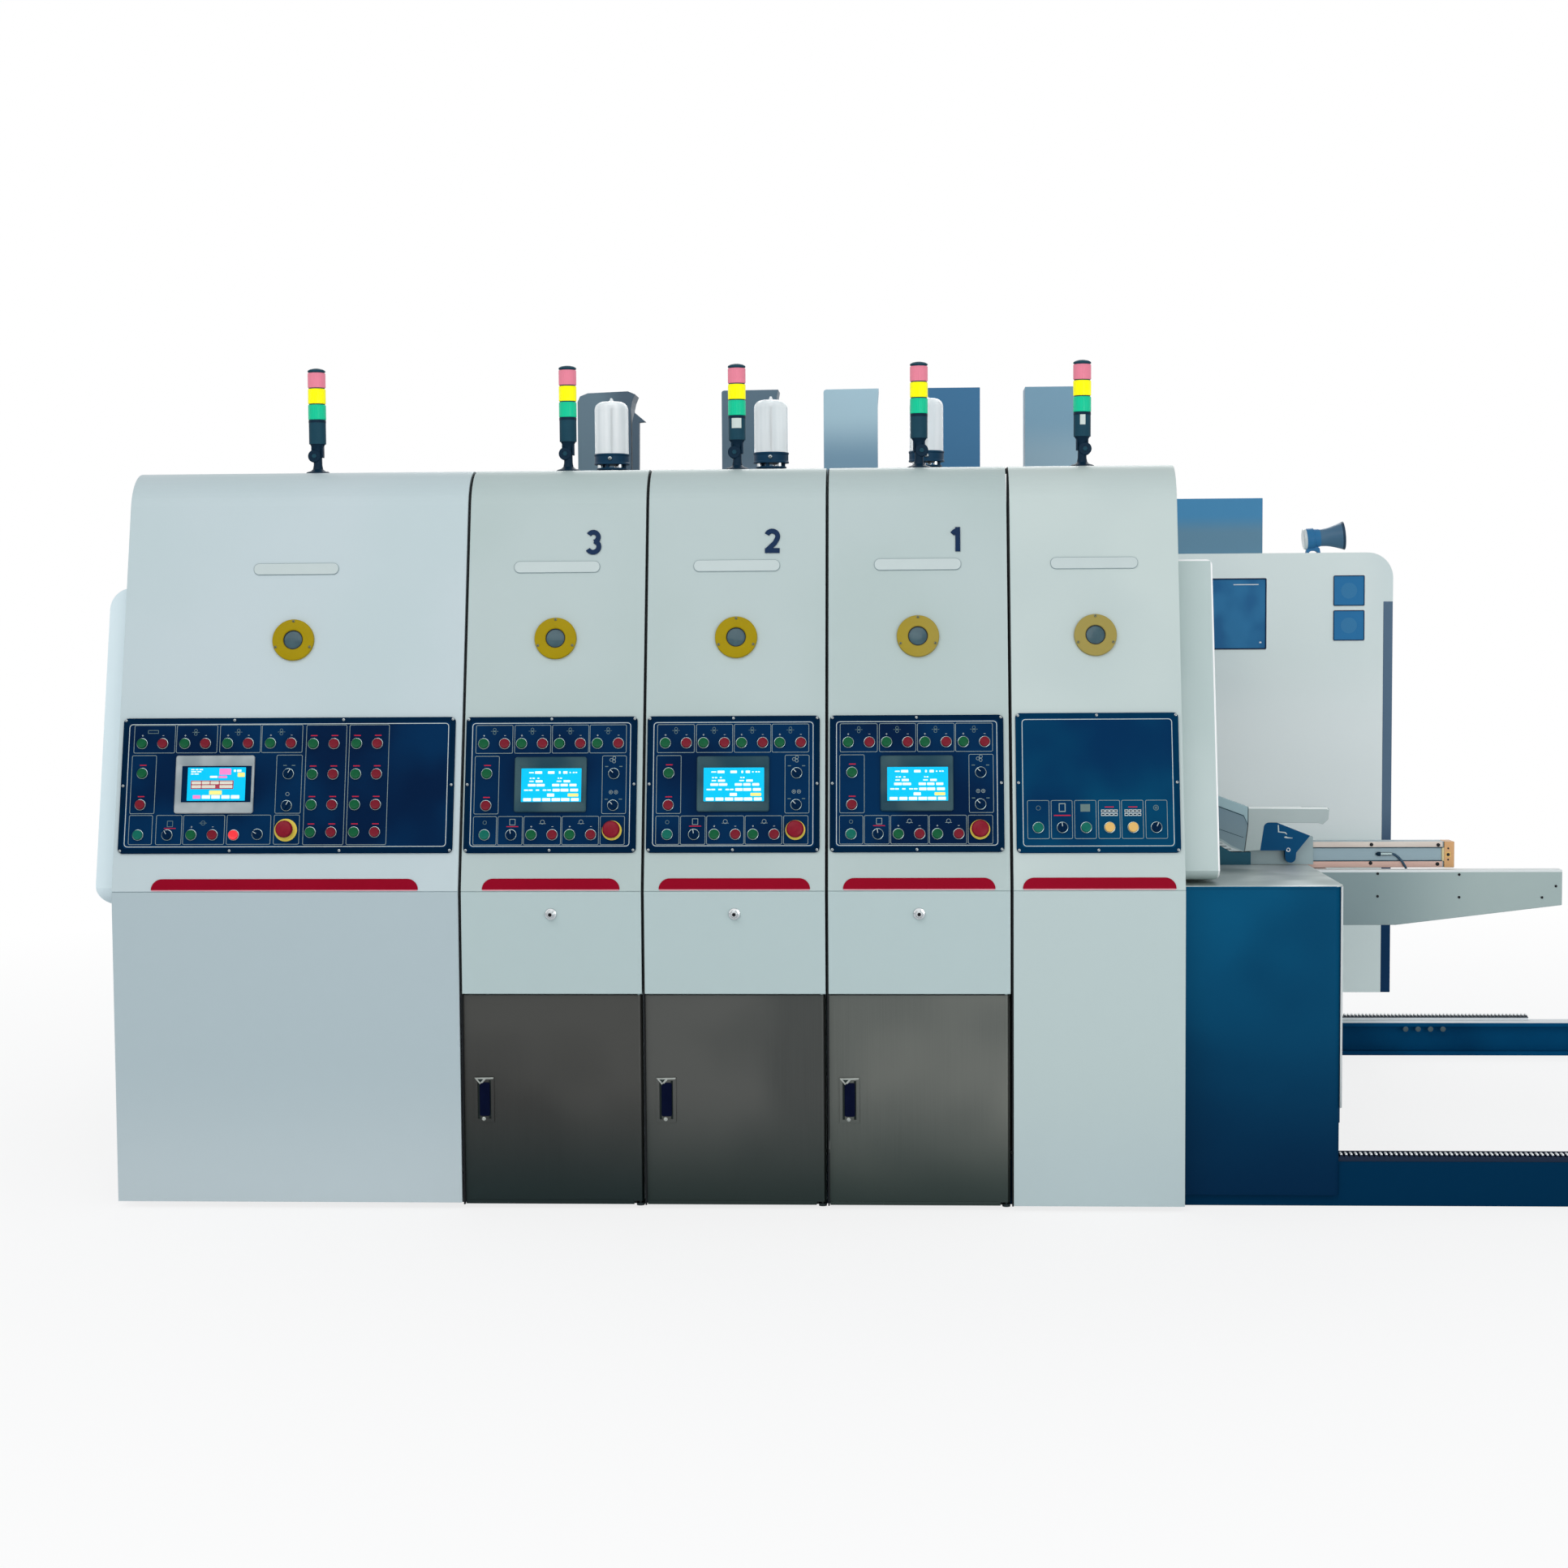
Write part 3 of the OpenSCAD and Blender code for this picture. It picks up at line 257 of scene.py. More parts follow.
def headings(path):
    """Each point of a path with the direction there."""
    path = [Vector(p) for p in path]
    for k, p in enumerate(path):
        yield p, (path[min(k + 1, len(path) - 1)] - path[max(k - 1, 0)]).normalized()


def tube(path, r, n=12):
    """A round bar along a path."""
    rings = []
    side = None
    for p, ahead in headings(path):
        if side is None:
            side = ahead.orthogonal().normalized()
        side = (side - ahead * side.dot(ahead)).normalized()
        up = ahead.cross(side)
        turns = [2 * pi * j / n for j in range(n)]
        rings.append([tuple(p + side * (r * cos(a)) + up * (r * sin(a))) for a in turns])
    return stack(rings)


def stroke(path, w, h):
    """A flat stroke of width w and height h along a path."""
    rings = []
    for p, ahead in headings(path):
        side = Vector((-ahead.y, ahead.x)) * (w / 2)
        rings.append([(*(p - side), 0), (*(p + side), 0), (*(p + side), h), (*(p - side), h)])
    return stack(rings)


def bezier(points, steps=24):
    """A smooth curve through control points, as one Bezier curve."""
    line = []
    for k in range(steps + 1):
        row = [Vector(p) for p in points]
        while len(row) > 1:
            row = [a.lerp(b, k / steps) for a, b in zip(row, row[1:])]
        line.append(row[0])
    return line


class Piece:
    """Gathers shapes in machine millimetres and makes them one object that rides on a body."""

    def __init__(self, name, body, slot="fitting_paint", replaces=()):
        self.name, self.body, self.slot, self.replaces = name, body, slot, replaces
        self.points, self.faces, self.indices, self.materials = [], [], [], []

    def add(self, shape, look, place=None):
        points, faces = shape
        start = len(self.points)
        place = place or Matrix.Identity(4)
        self.points += [place @ Vector(p) for p in points]
        self.faces += [tuple(start + k for k in face) for face in faces]
        if look not in self.materials:
            self.materials.append(look)
        self.indices += [self.materials.index(look)] * len(faces)

    def turn(self, profile, n, look, place, closed=False):
        self.add(lathe(profile, n, closed), look, place)

    def make(self, sharp=32):
        mesh = bpy.data.meshes.new(self.name)
        mesh.from_pydata([metres(p) for p in self.points], [], self.faces)
        for look in self.materials:
            mesh.materials.append(MATERIALS[look])
        mesh.polygons.foreach_set("material_index", self.indices)
        work = bmesh.new()
        work.from_mesh(mesh)
        bmesh.ops.recalc_face_normals(work, faces=work.faces)
        work.to_mesh(mesh)
        work.free()
        mesh.shade_smooth()
        mesh.set_sharp_from_angle(angle=radians(sharp))
        obj = put(self.name, mesh)
        obj.modifiers.new("normals", "WEIGHTED_NORMAL").keep_sharp = True
        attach(obj, self.body)
        if self.replaces:
            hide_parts(*self.replaces)
        return obj


# ---------------------------------------------------------------- materials

MATERIALS = {}


def linear(colour):
    """A colour written in 0-255 sRGB, as the shader wants it."""
    def one(v):
        v /= 255
        return v / 12.92 if v <= 0.04045 else ((v + 0.055) / 1.055) ** 2.4
    return tuple(one(v) for v in colour) + (1.0,)


def shade(colour, factor):
    return tuple(min(255, v * factor) for v in colour)


def new_node(tree, kind, inputs=(), **settings):
    """A shader node. Each input is a value, or another node's output that is linked to it."""
    made = tree.nodes.new("ShaderNode" + kind)
    for key, value in settings.items():
        setattr(made, key, value)
    for key, value in dict(inputs).items():
        if isinstance(value, bpy.types.NodeSocket):
            tree.links.new(value, made.inputs[key])
        else:
            made.inputs[key].default_value = value
    return made


def material(
    name, colour, second, rough, scale, gloss=0.5, spread=0.06, metal=0.0, stretch=(1, 1, 1),
    bump=None, fades=(), cloud=None, glow=None, **sockets
):
    """A procedural material: two close colours mixed by noise, with uneven roughness and fine relief.

    gloss is the specular level. bump is (depth in metres, scale) of the relief, and glow is (colour,
    strength) of its own light, painted light on the dome glass. fades are (axis, start, end, colour):
    along an axis of the object, in metres, the colour changes from start on and is reached at end;
    many fades paint light and shade. cloud is (scale, colour): wide soft patches of another colour,
    painted reflections on some materials.
    """
    made = bpy.data.materials.new(name)
    made.use_nodes = True
    tree = made.node_tree
    shader = tree.nodes["Principled BSDF"]

    def mixed(factor, a, b):
        sides = {"Factor": factor, "A": a, "B": b}
        return new_node(tree, "Mix", sides, data_type="RGBA").outputs["Result"]

    def eased(value, low, high):
        limits = {"Value": value, "From Min": low, "From Max": high}
        return new_node(tree, "MapRange", limits, interpolation_type="SMOOTHSTEP").outputs["Result"]

    def noise(vector, size, detail):
        return new_node(tree, "TexNoise", {"Vector": vector, "Scale": size, "Detail": detail}).outputs["Fac"]

    place = new_node(tree, "TexCoord").outputs["Object"]
    mapped = new_node(tree, "Mapping", {"Vector": place, "Scale": stretch}).outputs["Vector"]
    grain = noise(mapped, scale, 5)
    last = mixed(grain, linear(colour), linear(second))
    if cloud:
        last = mixed(eased(noise(place, cloud[0], 1.5), 0.36, 0.64), last, linear(cloud[1]))
    for axis, start, end, tint in fades:
        along = new_node(tree, "SeparateXYZ", {"Vector": place}).outputs[axis]
        factor = eased(along, min(start, end), max(start, end))
        last = mixed(factor, last, linear(tint)) if start < end else mixed(factor, linear(tint), last)
    tree.links.new(last, shader.inputs["Base Color"])

    limits = {"To Min": max(0.02, rough - spread), "To Max": min(1.0, rough + spread), "Value": grain}
    tree.links.new(new_node(tree, "MapRange", limits).outputs["Result"], shader.inputs["Roughness"])
    if bump:
        relief = {"Strength": 0.6, "Distance": bump[0], "Height": noise(mapped, bump[1], 2)}
        tree.links.new(new_node(tree, "Bump", relief).outputs["Normal"], shader.inputs["Normal"])
    values = {"Metallic": metal, "Specular_IOR_Level": gloss, **sockets}
    if glow:
        values.update(Emission_Color=linear(glow[0]), Emission_Strength=glow[1])
    for key, value in values.items():
        shader.inputs[key.replace("_", " ")].default_value = value
    MATERIALS[name] = made


# Reliefs: orange peel of powder coat, moulded plastic, fine grain
PEEL = (0.00006, 420)
MOULDED = (0.00004, 700)
FINE = (0.00003, 900)
RIM = (0.00003, 700)
FILM = (0.00002, 900)
BRUSHED = (0.00005, 500)

# Name, colour, second colour, roughness, noise scale, specular level and other settings
LOOKS = (
    ("end_die", (230, 247, 252), (236, 250, 254), 0.42, 1.6, 0.3, dict(bump=PEEL)),
    # housing_sheet is lighter below 1.1 m and a little less so below 0.7 m: painted light where less light
    # falls
    ("housing_sheet", (232, 245, 243), (238, 250, 248), 0.46, 1.3, 0.3, dict(
        bump=PEEL, cloud=(1.5, (226, 240, 240)),
        fades=[("Z", 1.4, 1.1, (246, 255, 254)), ("Z", 0.85, 0.7, (232, 247, 245))])),
    # navy_enamel darkens towards the floor: painted shade
    ("navy_enamel", (2, 80, 118), (4, 88, 126), 0.4, 2.2, 0.04, dict(
        bump=(0.0001, 260), cloud=(3.0, (0, 72, 108)), fades=[("Z", 0.8, 0.0, (0, 40, 72))])),
    # rail_enamel: the near-white band along the rails' top is a painted highlight, and the front rail is
    # painted darker as painted shade
    ("rail_enamel", (0, 74, 120), (2, 84, 130), 0.42, 6, 0.02, dict(
        bump=(0.00015, 220), cloud=(3, (0, 64, 106)),
        fades=[("Z", 0.1112, 0.1122, (238, 242, 244)), ("Y", 0.2, -0.2, (0, 48, 80))])),
    ("cast_enamel", (92, 108, 115), (104, 120, 126), 0.55, 9, 0.5, dict(bump=(0.0004, 160))),
    ("ground_steel", (176, 182, 184), (196, 201, 203), 0.24, 30, 0.5, dict(
        spread=0.08, metal=1.0, stretch=(1, 0.05, 1), bump=(0.00002, 300))),
    ("chrome", (206, 210, 212), (226, 229, 230), 0.12, 40, 0.5, dict(spread=0.04, metal=1.0)),
    ("bezel_chrome", (136, 156, 158), (172, 188, 188), 0.22, 60, 0.5, dict(spread=0.05, metal=0.8)),
    ("screw_steel", (138, 148, 150), (172, 178, 180), 0.3, 60, 0.5, dict(metal=1.0, bump=(0.00004, 900))),
    ("pull_recess", (34, 44, 44), (48, 56, 54), 0.5, 40, 0.1, dict(metal=0.2)),
    ("pull_frame", (150, 156, 150), (190, 194, 188), 0.3, 60, 0.5, dict(metal=0.5)),
    ("pull_grip", (2, 8, 34), (6, 14, 44), 0.4, 40, 0.04, dict(bump=FINE)),
    ("black_steel", (22, 24, 27), (34, 36, 40), 0.42, 40, 0.2, dict(metal=0.3)),
    ("black_plastic", (14, 17, 22), (22, 26, 32), 0.42, 30, 0.2, dict(bump=FINE)),
    ("rubber", (14, 17, 20), (22, 25, 28), 0.75, 40, 0.2, dict(bump=(0.00005, 600))),
    ("rack_shade", (20, 30, 48), (28, 40, 58), 0.5, 20, 0.05),
    ("panel_rim", (0, 27, 54), (0, 36, 64), 0.42, 20, 0.02, dict(bump=RIM)),
    ("feed_rim", (0, 46, 78), (0, 54, 86), 0.42, 20, 0.02, dict(bump=RIM)),
    ("panel_film", (0, 26, 60), (0, 34, 70), 0.4, 3.2, 0.03, dict(bump=FILM, cloud=(4.5, (0, 45, 84)))),
    ("feed_film", (0, 62, 98), (2, 72, 108), 0.4, 3.2, 0.03, dict(bump=FILM, cloud=(4.5, (0, 48, 88)))),
    ("knob_navy", (0, 30, 62), (0, 38, 72), 0.4, 30, 0.03),
    ("print_white", (196, 208, 206), (208, 218, 216), 0.45, 60, 0.2),
    ("print_grey", (138, 156, 154), (152, 168, 166), 0.45, 60, 0.2),
    ("print_dim", (96, 120, 120), (112, 134, 132), 0.45, 60, 0.1),
    ("print_red", (196, 28, 62), (206, 40, 72), 0.45, 60, 0.1),
    ("cap_green", (0, 82, 46), (4, 96, 58), 0.34, 90, 0.12),
    ("cap_teal", (0, 98, 84), (8, 112, 96), 0.34, 90, 0.12),
    ("cap_red", (112, 14, 34), (130, 26, 44), 0.34, 90, 0.12),
    ("cap_yellow", (228, 182, 102), (236, 194, 116), 0.34, 90, 0.2),
    ("cap_lit", (226, 20, 36), (240, 40, 50), 0.25, 90, 0.5, dict(glow=((230, 24, 40), 0.35))),
    ("stop_red", (128, 16, 36), (144, 26, 46), 0.36, 40, 0.12),
    ("stop_yellow", (232, 206, 76), (240, 216, 96), 0.4, 40, 0.2),
    ("port_glass", (34, 62, 74), (84, 112, 120), 0.14, 30, 0.2),
    ("port_screw", (96, 98, 66), (128, 130, 104), 0.4, 90, 0.5, dict(metal=0.4)),
    ("stripe_red", (142, 0, 30), (156, 0, 38), 0.36, 5, 0.06),
    ("stripe_pink", (224, 142, 156), (232, 156, 168), 0.4, 20),
    ("numeral_blue", (2, 36, 72), (4, 44, 82), 0.34, 20, 0.1),
    ("plate_sheet", (196, 209, 208), (203, 215, 214), 0.36, 12, 0.3),
    ("plate_rim", (142, 160, 164), (152, 168, 172), 0.36, 12, 0.2),
    ("plate_white", (214, 222, 222), (224, 230, 230), 0.3, 30, 0.5, dict(Coat_Weight=0.3)),
    ("bezel_grey", (168, 176, 178), (184, 192, 194), 0.4, 30, 0.5, dict(
        bump=FINE, cloud=(14, (142, 154, 158)))),
    ("bezel_dark", (56, 84, 92), (66, 94, 100), 0.4, 30, 0.1, dict(bump=FINE, cloud=(9, (34, 68, 82)))),
    ("screen_cyan", (0, 172, 216), (0, 186, 228), 0.2, 12, 0.1, dict(glow=((0, 176, 222), 0.5))),
    ("screen_white", (226, 246, 250), (236, 250, 252), 0.2, 60, 0.5, dict(glow=((220, 244, 250), 0.35))),
    ("screen_pink", (240, 120, 190), (246, 140, 200), 0.2, 60, 0.5, dict(glow=((240, 120, 190), 0.3))),
    ("screen_yellow", (244, 226, 120), (248, 234, 140), 0.2, 60, 0.5, dict(glow=((244, 226, 120), 0.3))),
    ("screen_red", (150, 30, 60), (160, 44, 70), 0.2, 60, 0.5, dict(glow=((150, 30, 60), 0.3))),
    ("lamp_body", (22, 62, 80), (34, 76, 92), 0.5, 30, 0.1, dict(bump=MOULDED)),
    ("lamp_dark", (8, 34, 54), (16, 46, 66), 0.45, 30, 0.1, dict(bump=MOULDED)),
    ("label_white", (206, 220, 214), (216, 228, 222), 0.5, 60),
    # dome_glass glows white and has vertical streaks: painted light and painted reflections in the glass
    ("dome_glass", (255, 255, 255), (196, 208, 212), 0.07, 55, 0.5, dict(
        spread=0.02, stretch=(1, 1, 0.03), Transmission_Weight=0.6, IOR=1.12, glow=((255, 255, 255), 0.14))),
    ("dome_ring", (10, 58, 88), (18, 68, 98), 0.4, 20, 0.15),
    ("dome_rod", (70, 88, 92), (110, 124, 128), 0.35, 60, 0.5, dict(metal=0.3)),
    ("window_blue", (32, 116, 172), (44, 128, 184), 0.3, 3.2, 0.08),
    # A lighter tone of the small panes, for their round disc: a painted highlight
    ("window_round", (52, 126, 176), (60, 134, 182), 0.3, 3.2, 0.08),
    ("window_deep", (36, 114, 164), (50, 130, 180), 0.3, 5, 0.08, dict(cloud=(9.0, (28, 102, 154)))),
    ("window_rim", (6, 34, 66), (10, 44, 78), 0.36, 20, 0.1),
    ("strip_grey", (92, 118, 142), (100, 126, 150), 0.45, 5, 0.1, dict(fades=[("Z", 0.9, 0.6, (0, 52, 92))])),
    ("table_steel", (168, 176, 178), (190, 197, 198), 0.26, 8, 0.5, dict(metal=0.9, stretch=(1, 14, 1))),
    ("copper_strip", (186, 170, 160), (216, 208, 198), 0.36, 9, 0.5, dict(metal=0.2, stretch=(1, 4, 4))),
    ("copper_pink", (186, 144, 132), (208, 180, 166), 0.36, 9, 0.5, dict(metal=0.2, stretch=(1, 4, 4))),
    ("ivory", (232, 226, 208), (238, 233, 218), 0.4, 20),
    ("end_tan", (188, 140, 90), (204, 158, 106), 0.4, 20, 0.5, dict(metal=0.3)),
    ("end_light", (214, 196, 142), (224, 208, 158), 0.4, 20),
    ("guide_body", (112, 138, 152), (130, 154, 166), 0.42, 9, 0.2, dict(
        fades=[("Z", 0.98, 0.84, (128, 150, 158))])),
    ("guide_teal", (158, 188, 196), (172, 200, 206), 0.4, 6, 0.25),
    ("guide_dark", (30, 60, 74), (44, 76, 88), 0.5, 20, 0.1),
    ("guide_light", (144, 166, 170), (158, 178, 180), 0.4, 7, 0.5, dict(bump=BRUSHED)),
    ("guide_plate", (162, 178, 177), (184, 196, 196), 0.38, 9, 0.5, dict(bump=BRUSHED)),
    # A near-white tone for the bracket's top ridge: a painted highlight
    ("guide_edge", (240, 248, 246), (248, 252, 250), 0.3, 9),
    ("guide_underside", (10, 72, 98), (50, 100, 112), 0.4, 9, 0.1),
    ("guide_navy", (0, 68, 112), (0, 80, 124), 0.36, 14, 0.06),
    ("horn_paint", (72, 110, 140), (86, 124, 150), 0.36, 14, 0.2),
    ("horn_blue", (48, 116, 166), (60, 128, 176), 0.36, 14, 0.1),
    # The horn's lip and inside, darker than the horn: painted shade in its mouth
    ("horn_lip", (44, 70, 94), (54, 80, 102), 0.36, 14, 0.1),
    ("beam_recess", (126, 150, 160), (142, 164, 172), 0.36, 12, 0.5, dict(metal=0.2, stretch=(0.3, 8, 8))),
    ("cable_black", (46, 74, 96), (64, 92, 112), 0.5, 40, 0.2),
    # table_sheet: the wide pale patches are painted reflections on the stainless sheet
    ("table_sheet", (146, 158, 156), (158, 169, 166), 0.34, 5, 0.3, dict(
        metal=0.3, stretch=(4, 1, 1), cloud=(5.0, (206, 213, 211)))),
    # A near-white edge strip, darker towards the floor: a painted highlight
    ("edge_light", (226, 233, 232), (238, 243, 242), 0.3, 20, 0.5, dict(
        metal=0.3, fades=[("Z", 0.45, 0.1, (150, 162, 166))])),
    ("bolt_rust", (58, 84, 96), (84, 100, 104), 0.5, 40, 0.5, dict(metal=0.3)),
)


def make_materials():
    for *plain, last in LOOKS:
        if isinstance(last, dict):
            material(*plain, **last)
        else:
            material(*plain, last)
    # Name, colour, patches, and the tones under the crease and near the floor: painted light and shade
    for name, colour, patch, skirt, low in (
        ("cover_die", (194, 210, 213), (200, 214, 218), (184, 200, 205), (196, 209, 213)),
        ("cover_print", (182, 198, 196), (189, 204, 203), (187, 205, 205), (188, 205, 205)),
        ("cover_feed", (200, 213, 210), (195, 209, 207), (192, 208, 207), (188, 204, 206)),
    ):
        fades = [("Z", 0.814, 0.808, skirt), ("Z", 0.4, 0.02, low)]
        # A dark band along the print covers' lowest 20 mm: a painted shadow under them
        if name == "cover_print":
            fades.append(("Z", 0.0205, 0.0195, (32, 44, 46)))
        material(name, colour, shade(colour, 1.02), 0.42, 1.4, 0.3, 0.05,
                 bump=PEEL, fades=fades, cloud=(2.1, patch))
    # Door steels: three tones of one brushed stainless, lighter patches (light) as painted reflections and
    # darker towards the floor (low) as painted shade
    for name, colour, light, low in (
        ("door_steel_3", (58, 58, 56), (78, 78, 75), (32, 46, 46)),
        ("door_steel_2", (68, 70, 68), (88, 89, 86), (42, 54, 52)),
        ("door_steel_1", (90, 93, 89), (114, 116, 110), (50, 62, 59)),
    ):
        material(name, colour, shade(colour, 1.14), 0.36, 5, metal=0.7, stretch=(90, 90, 0.8),
                 bump=(0.00002, 24), cloud=(2.6, light), fades=[("Z", 0.32, 0.0, low)])
    for name, colour in (
        ("lens_red", (222, 130, 150)), ("lens_yellow", (252, 244, 0)), ("lens_green", (10, 192, 146))
    ):
        material(name, colour, shade(colour, 1.04), 0.2, 30, 0.15,
                 glow=(colour, 0.25), Transmission_Weight=0.2, IOR=1.45)

    # A white stripe just inside the feed end cover's right edge and along its top: painted highlights on its
    # rounded edges
    corner = span("feed_end_cover")[1] / 1000
    end = LEFT + corner.x
    fades = [
        ("X", end - 0.0048, end - 0.0036, (255, 255, 255)),
        ("X", end - 0.0003, end - 0.0001, (188, 204, 202)),
        ("Z", corner.z - 0.0045, corner.z - 0.0035, (255, 255, 255)),
    ]
    material("end_feed", (186, 202, 200), (192, 208, 206), 0.42, 1.6, 0.3,
             bump=PEEL, cloud=(3, (198, 212, 210)), fades=fades)
    # The racks' tooth tops are painted white as painted highlights, the rear rack's foot below its teeth is
    # near-white with the rails' painted top highlight, and the front rack is painted dark as painted shade
    tips = span("rail_racks")[1].z / 1000
    material("rack_steel", (44, 54, 64), (62, 70, 78), 0.45, 60, 0.2, metal=0.2, bump=(0.0001, 500), fades=[
        ("Z", tips - 0.0115, tips - 0.0125, (232, 237, 240)), ("Y", 0.2, -0.2, (16, 34, 58)),
        ("Z", tips - 0.0034, tips - 0.003, (250, 252, 252)),
    ])
    fade = ("X", frame_x(edges_of("print2")[1]), frame_x(edges_of("feed")[0]), (164, 148, 80))
    material("ring_yellow", (160, 137, 0), (174, 150, 10), 0.4, 24, 0.08, bump=MOULDED, fades=[fade])
    # The arm darkens away from its right end, and a white band runs along its top edge: a painted highlight
    tip = span("side_arms")[1]
    arm_right = frame_x(tip.x)
    material("arm_enamel", (168, 186, 184), (176, 193, 190), 0.44, 4, 0.25, bump=PEEL, fades=[
        ("X", arm_right - 0.2, arm_right - 0.55, (140, 160, 161)),
        ("Z", (tip.z - 7) / 1000, (tip.z - 5.5) / 1000, (236, 241, 240)),
    ])
    # The ducts are one blue-grey paint; each gets its own tone and bands along its height as painted light
    # and shade, with steps along x at first, third and box
    first = frame_x(edges_of("print3")[0] + 100)
    third = frame_x(edges_of("print1")[0] + 115)
    box = frame_x(edges_of("feed")[1] + 20)
    for unit, colour, fades in (
        ("print3", (112, 136, 150), [
            ("X", first, first + 0.1, (88, 108, 124)), ("Z", 2.0, 1.9, (112, 132, 148))
        ]),
        ("print2", (100, 124, 140), [("Z", 2.06, 1.9, (126, 140, 160))]),
        ("print1", (184, 216, 230), [
            ("Z", 2.18, 2.02, (140, 178, 202)), ("Z", 1.99, 1.9, (84, 126, 162)),
            ("X", third - 0.001, third, (70, 126, 168)),
        ]),
        ("feed", (128, 166, 188), [
            ("Z", 2.16, 2.02, (150, 180, 196)), ("Z", 1.98, 1.86, (92, 126, 152)),
            ("X", box - 0.001, box, (68, 138, 182)), ("Z", 1.838, 1.77, (96, 138, 162)),
        ]),
    ):
        material(f"duct_{unit}", colour, shade(colour, 1.06), 0.42, 2.6, 0.2,
                 metal=0.1, bump=(0.00008, 300), fades=fades)


make_materials()


# ---------------------------------------------------------------- CAD nodes that stay

def keep(node, name, edge=0.0):
    """Gives a CAD node its material and, where edge is given, rounded edges."""
    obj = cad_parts[node]
    obj.data.materials.clear()
    obj.data.materials.append(MATERIALS[name])
    if edge:
        obj.modifiers.new("weld", "WELD").merge_threshold = 0.00002
        bevel = obj.modifiers.new("bevel", "BEVEL")
        bevel.width = edge / 1000
        bevel.segments = 2
        bevel.limit_method = "ANGLE"
        bevel.angle_limit = radians(30)
        obj.modifiers.new("normals", "WEIGHTED_NORMAL").keep_sharp = True


def dress_nodes():
    for unit in UNITS:
        keep(covers_of(unit), "cover_print" if unit in PRINTS else f"cover_{unit}", 2.0)
        keep(f"{unit}_frame", "cast_enamel")
        keep(f"{unit}_rolls", "ground_steel", 2.0)
        if unit != "die":
            keep(f"{unit}_duct", f"duct_{unit}", 1.5)
        if unit in PRINTS:
            keep(f"{unit}_door", f"door_steel_{unit[-1]}", 1.0)
    for node, name, edge in (
        ("die_end_covers", "end_die", 3.0), ("feed_end_cover", "end_feed", 4.0),
        ("feed_housing", "housing_sheet", 2.0), ("feed_cabinet", "navy_enamel", 1.5),
        ("floor_rails", "rail_enamel", 1.0), ("rail_racks", "rack_steel", 0.0),
        ("side_arms", "arm_enamel", 1.5), ("feed_table", "table_steel", 0.0),
    ):
        keep(node, name, edge)


dress_nodes()


# ---------------------------------------------------------------- control panels

SCREW_R = 3.7
BUTTON_R = 14.5


def screw_head(piece, place, r=SCREW_R, look="screw_steel", slot_angle=30):
    """A domed cross-recess screw."""
    piece.turn([(r, 0), (r, 0.35 * r), (0.8 * r, 0.6 * r), (0.42 * r, 0.72 * r)], 16, look, place)
    for turn in (0, 90):
        slot = block(-0.55 * r, 0.55 * r, -0.11 * r, 0.11 * r, 0.7 * r, 0.8 * r)
        piece.add(slot, "black_steel", place @ R(slot_angle + turn, "Z"))


def button_part(piece, place, shares, look, closed=False):
    """A turned part of a button: (share of its radius, height)."""
    piece.turn([(share * BUTTON_R, z) for share, z in shares], 40, look, place, closed)


def bezel(piece, place):
    shares = [(0.97, 0), (1, 0.8), (1, 2.2), (0.96, 3.2), (0.9, 3.4), (0.87, 2.6), (0.87, 0.6)]
    button_part(piece, place, shares, "bezel_chrome", True)


def push_button(piece, place, cap):
    bezel(piece, place)
    shares = [(0.86, 0.6), (0.86, 7.4), (0.82, 8.6), (0.72, 9.1), (0.64, 8.7), (0.3, 8.5)]
    button_part(piece, place, shares, cap)


def selector(piece, place, angle=90):
    """A knob with a pointer, turned by angle from the panel's width."""
    bezel(piece, place)
    button_part(piece, place, [(0.86, 0.6), (0.86, 6.4), (0.8, 7.2)], "knob_navy")
    grip = [(-12, -2.6), (11.4, -3.4), (12.2, 0), (11.4, 3.4), (-12, 2.6)]
    turned = place @ R(angle, "Z")
    piece.add(prism(grip, 6, 11, 1.0), "knob_navy", turned)
    piece.add(block(1.6, 11.6, -0.8, 0.8, 10.8, 11.3), "print_white", turned)


def stop_button(piece, place, r=25):
    """An emergency stop: a mushroom over a round yellow plate of radius r."""
    head = [(12, 13), (20, 14), (21.6, 16), (22, 20), (21.2, 24), (18.6, 27.4), (12, 29.2), (4, 29.6)]
    piece.turn([(r, 0), (r, 3.0), (r - 1.5, 4.0), (15, 4.0)], 48, "stop_yellow", place)
    piece.turn([(13.5, 3), (13.5, 9), (12.5, 15), (14, 17)], 32, "black_plastic", place)
    piece.turn(head, 48, "stop_red", place)
    for turn in (30, 150, 270):
        sweep = [(*polar(9.5, turn + a), 29.3) for a in range(0, 71, 10)]
        piece.add(tube(sweep, 0.35, 6), "cap_red", place)


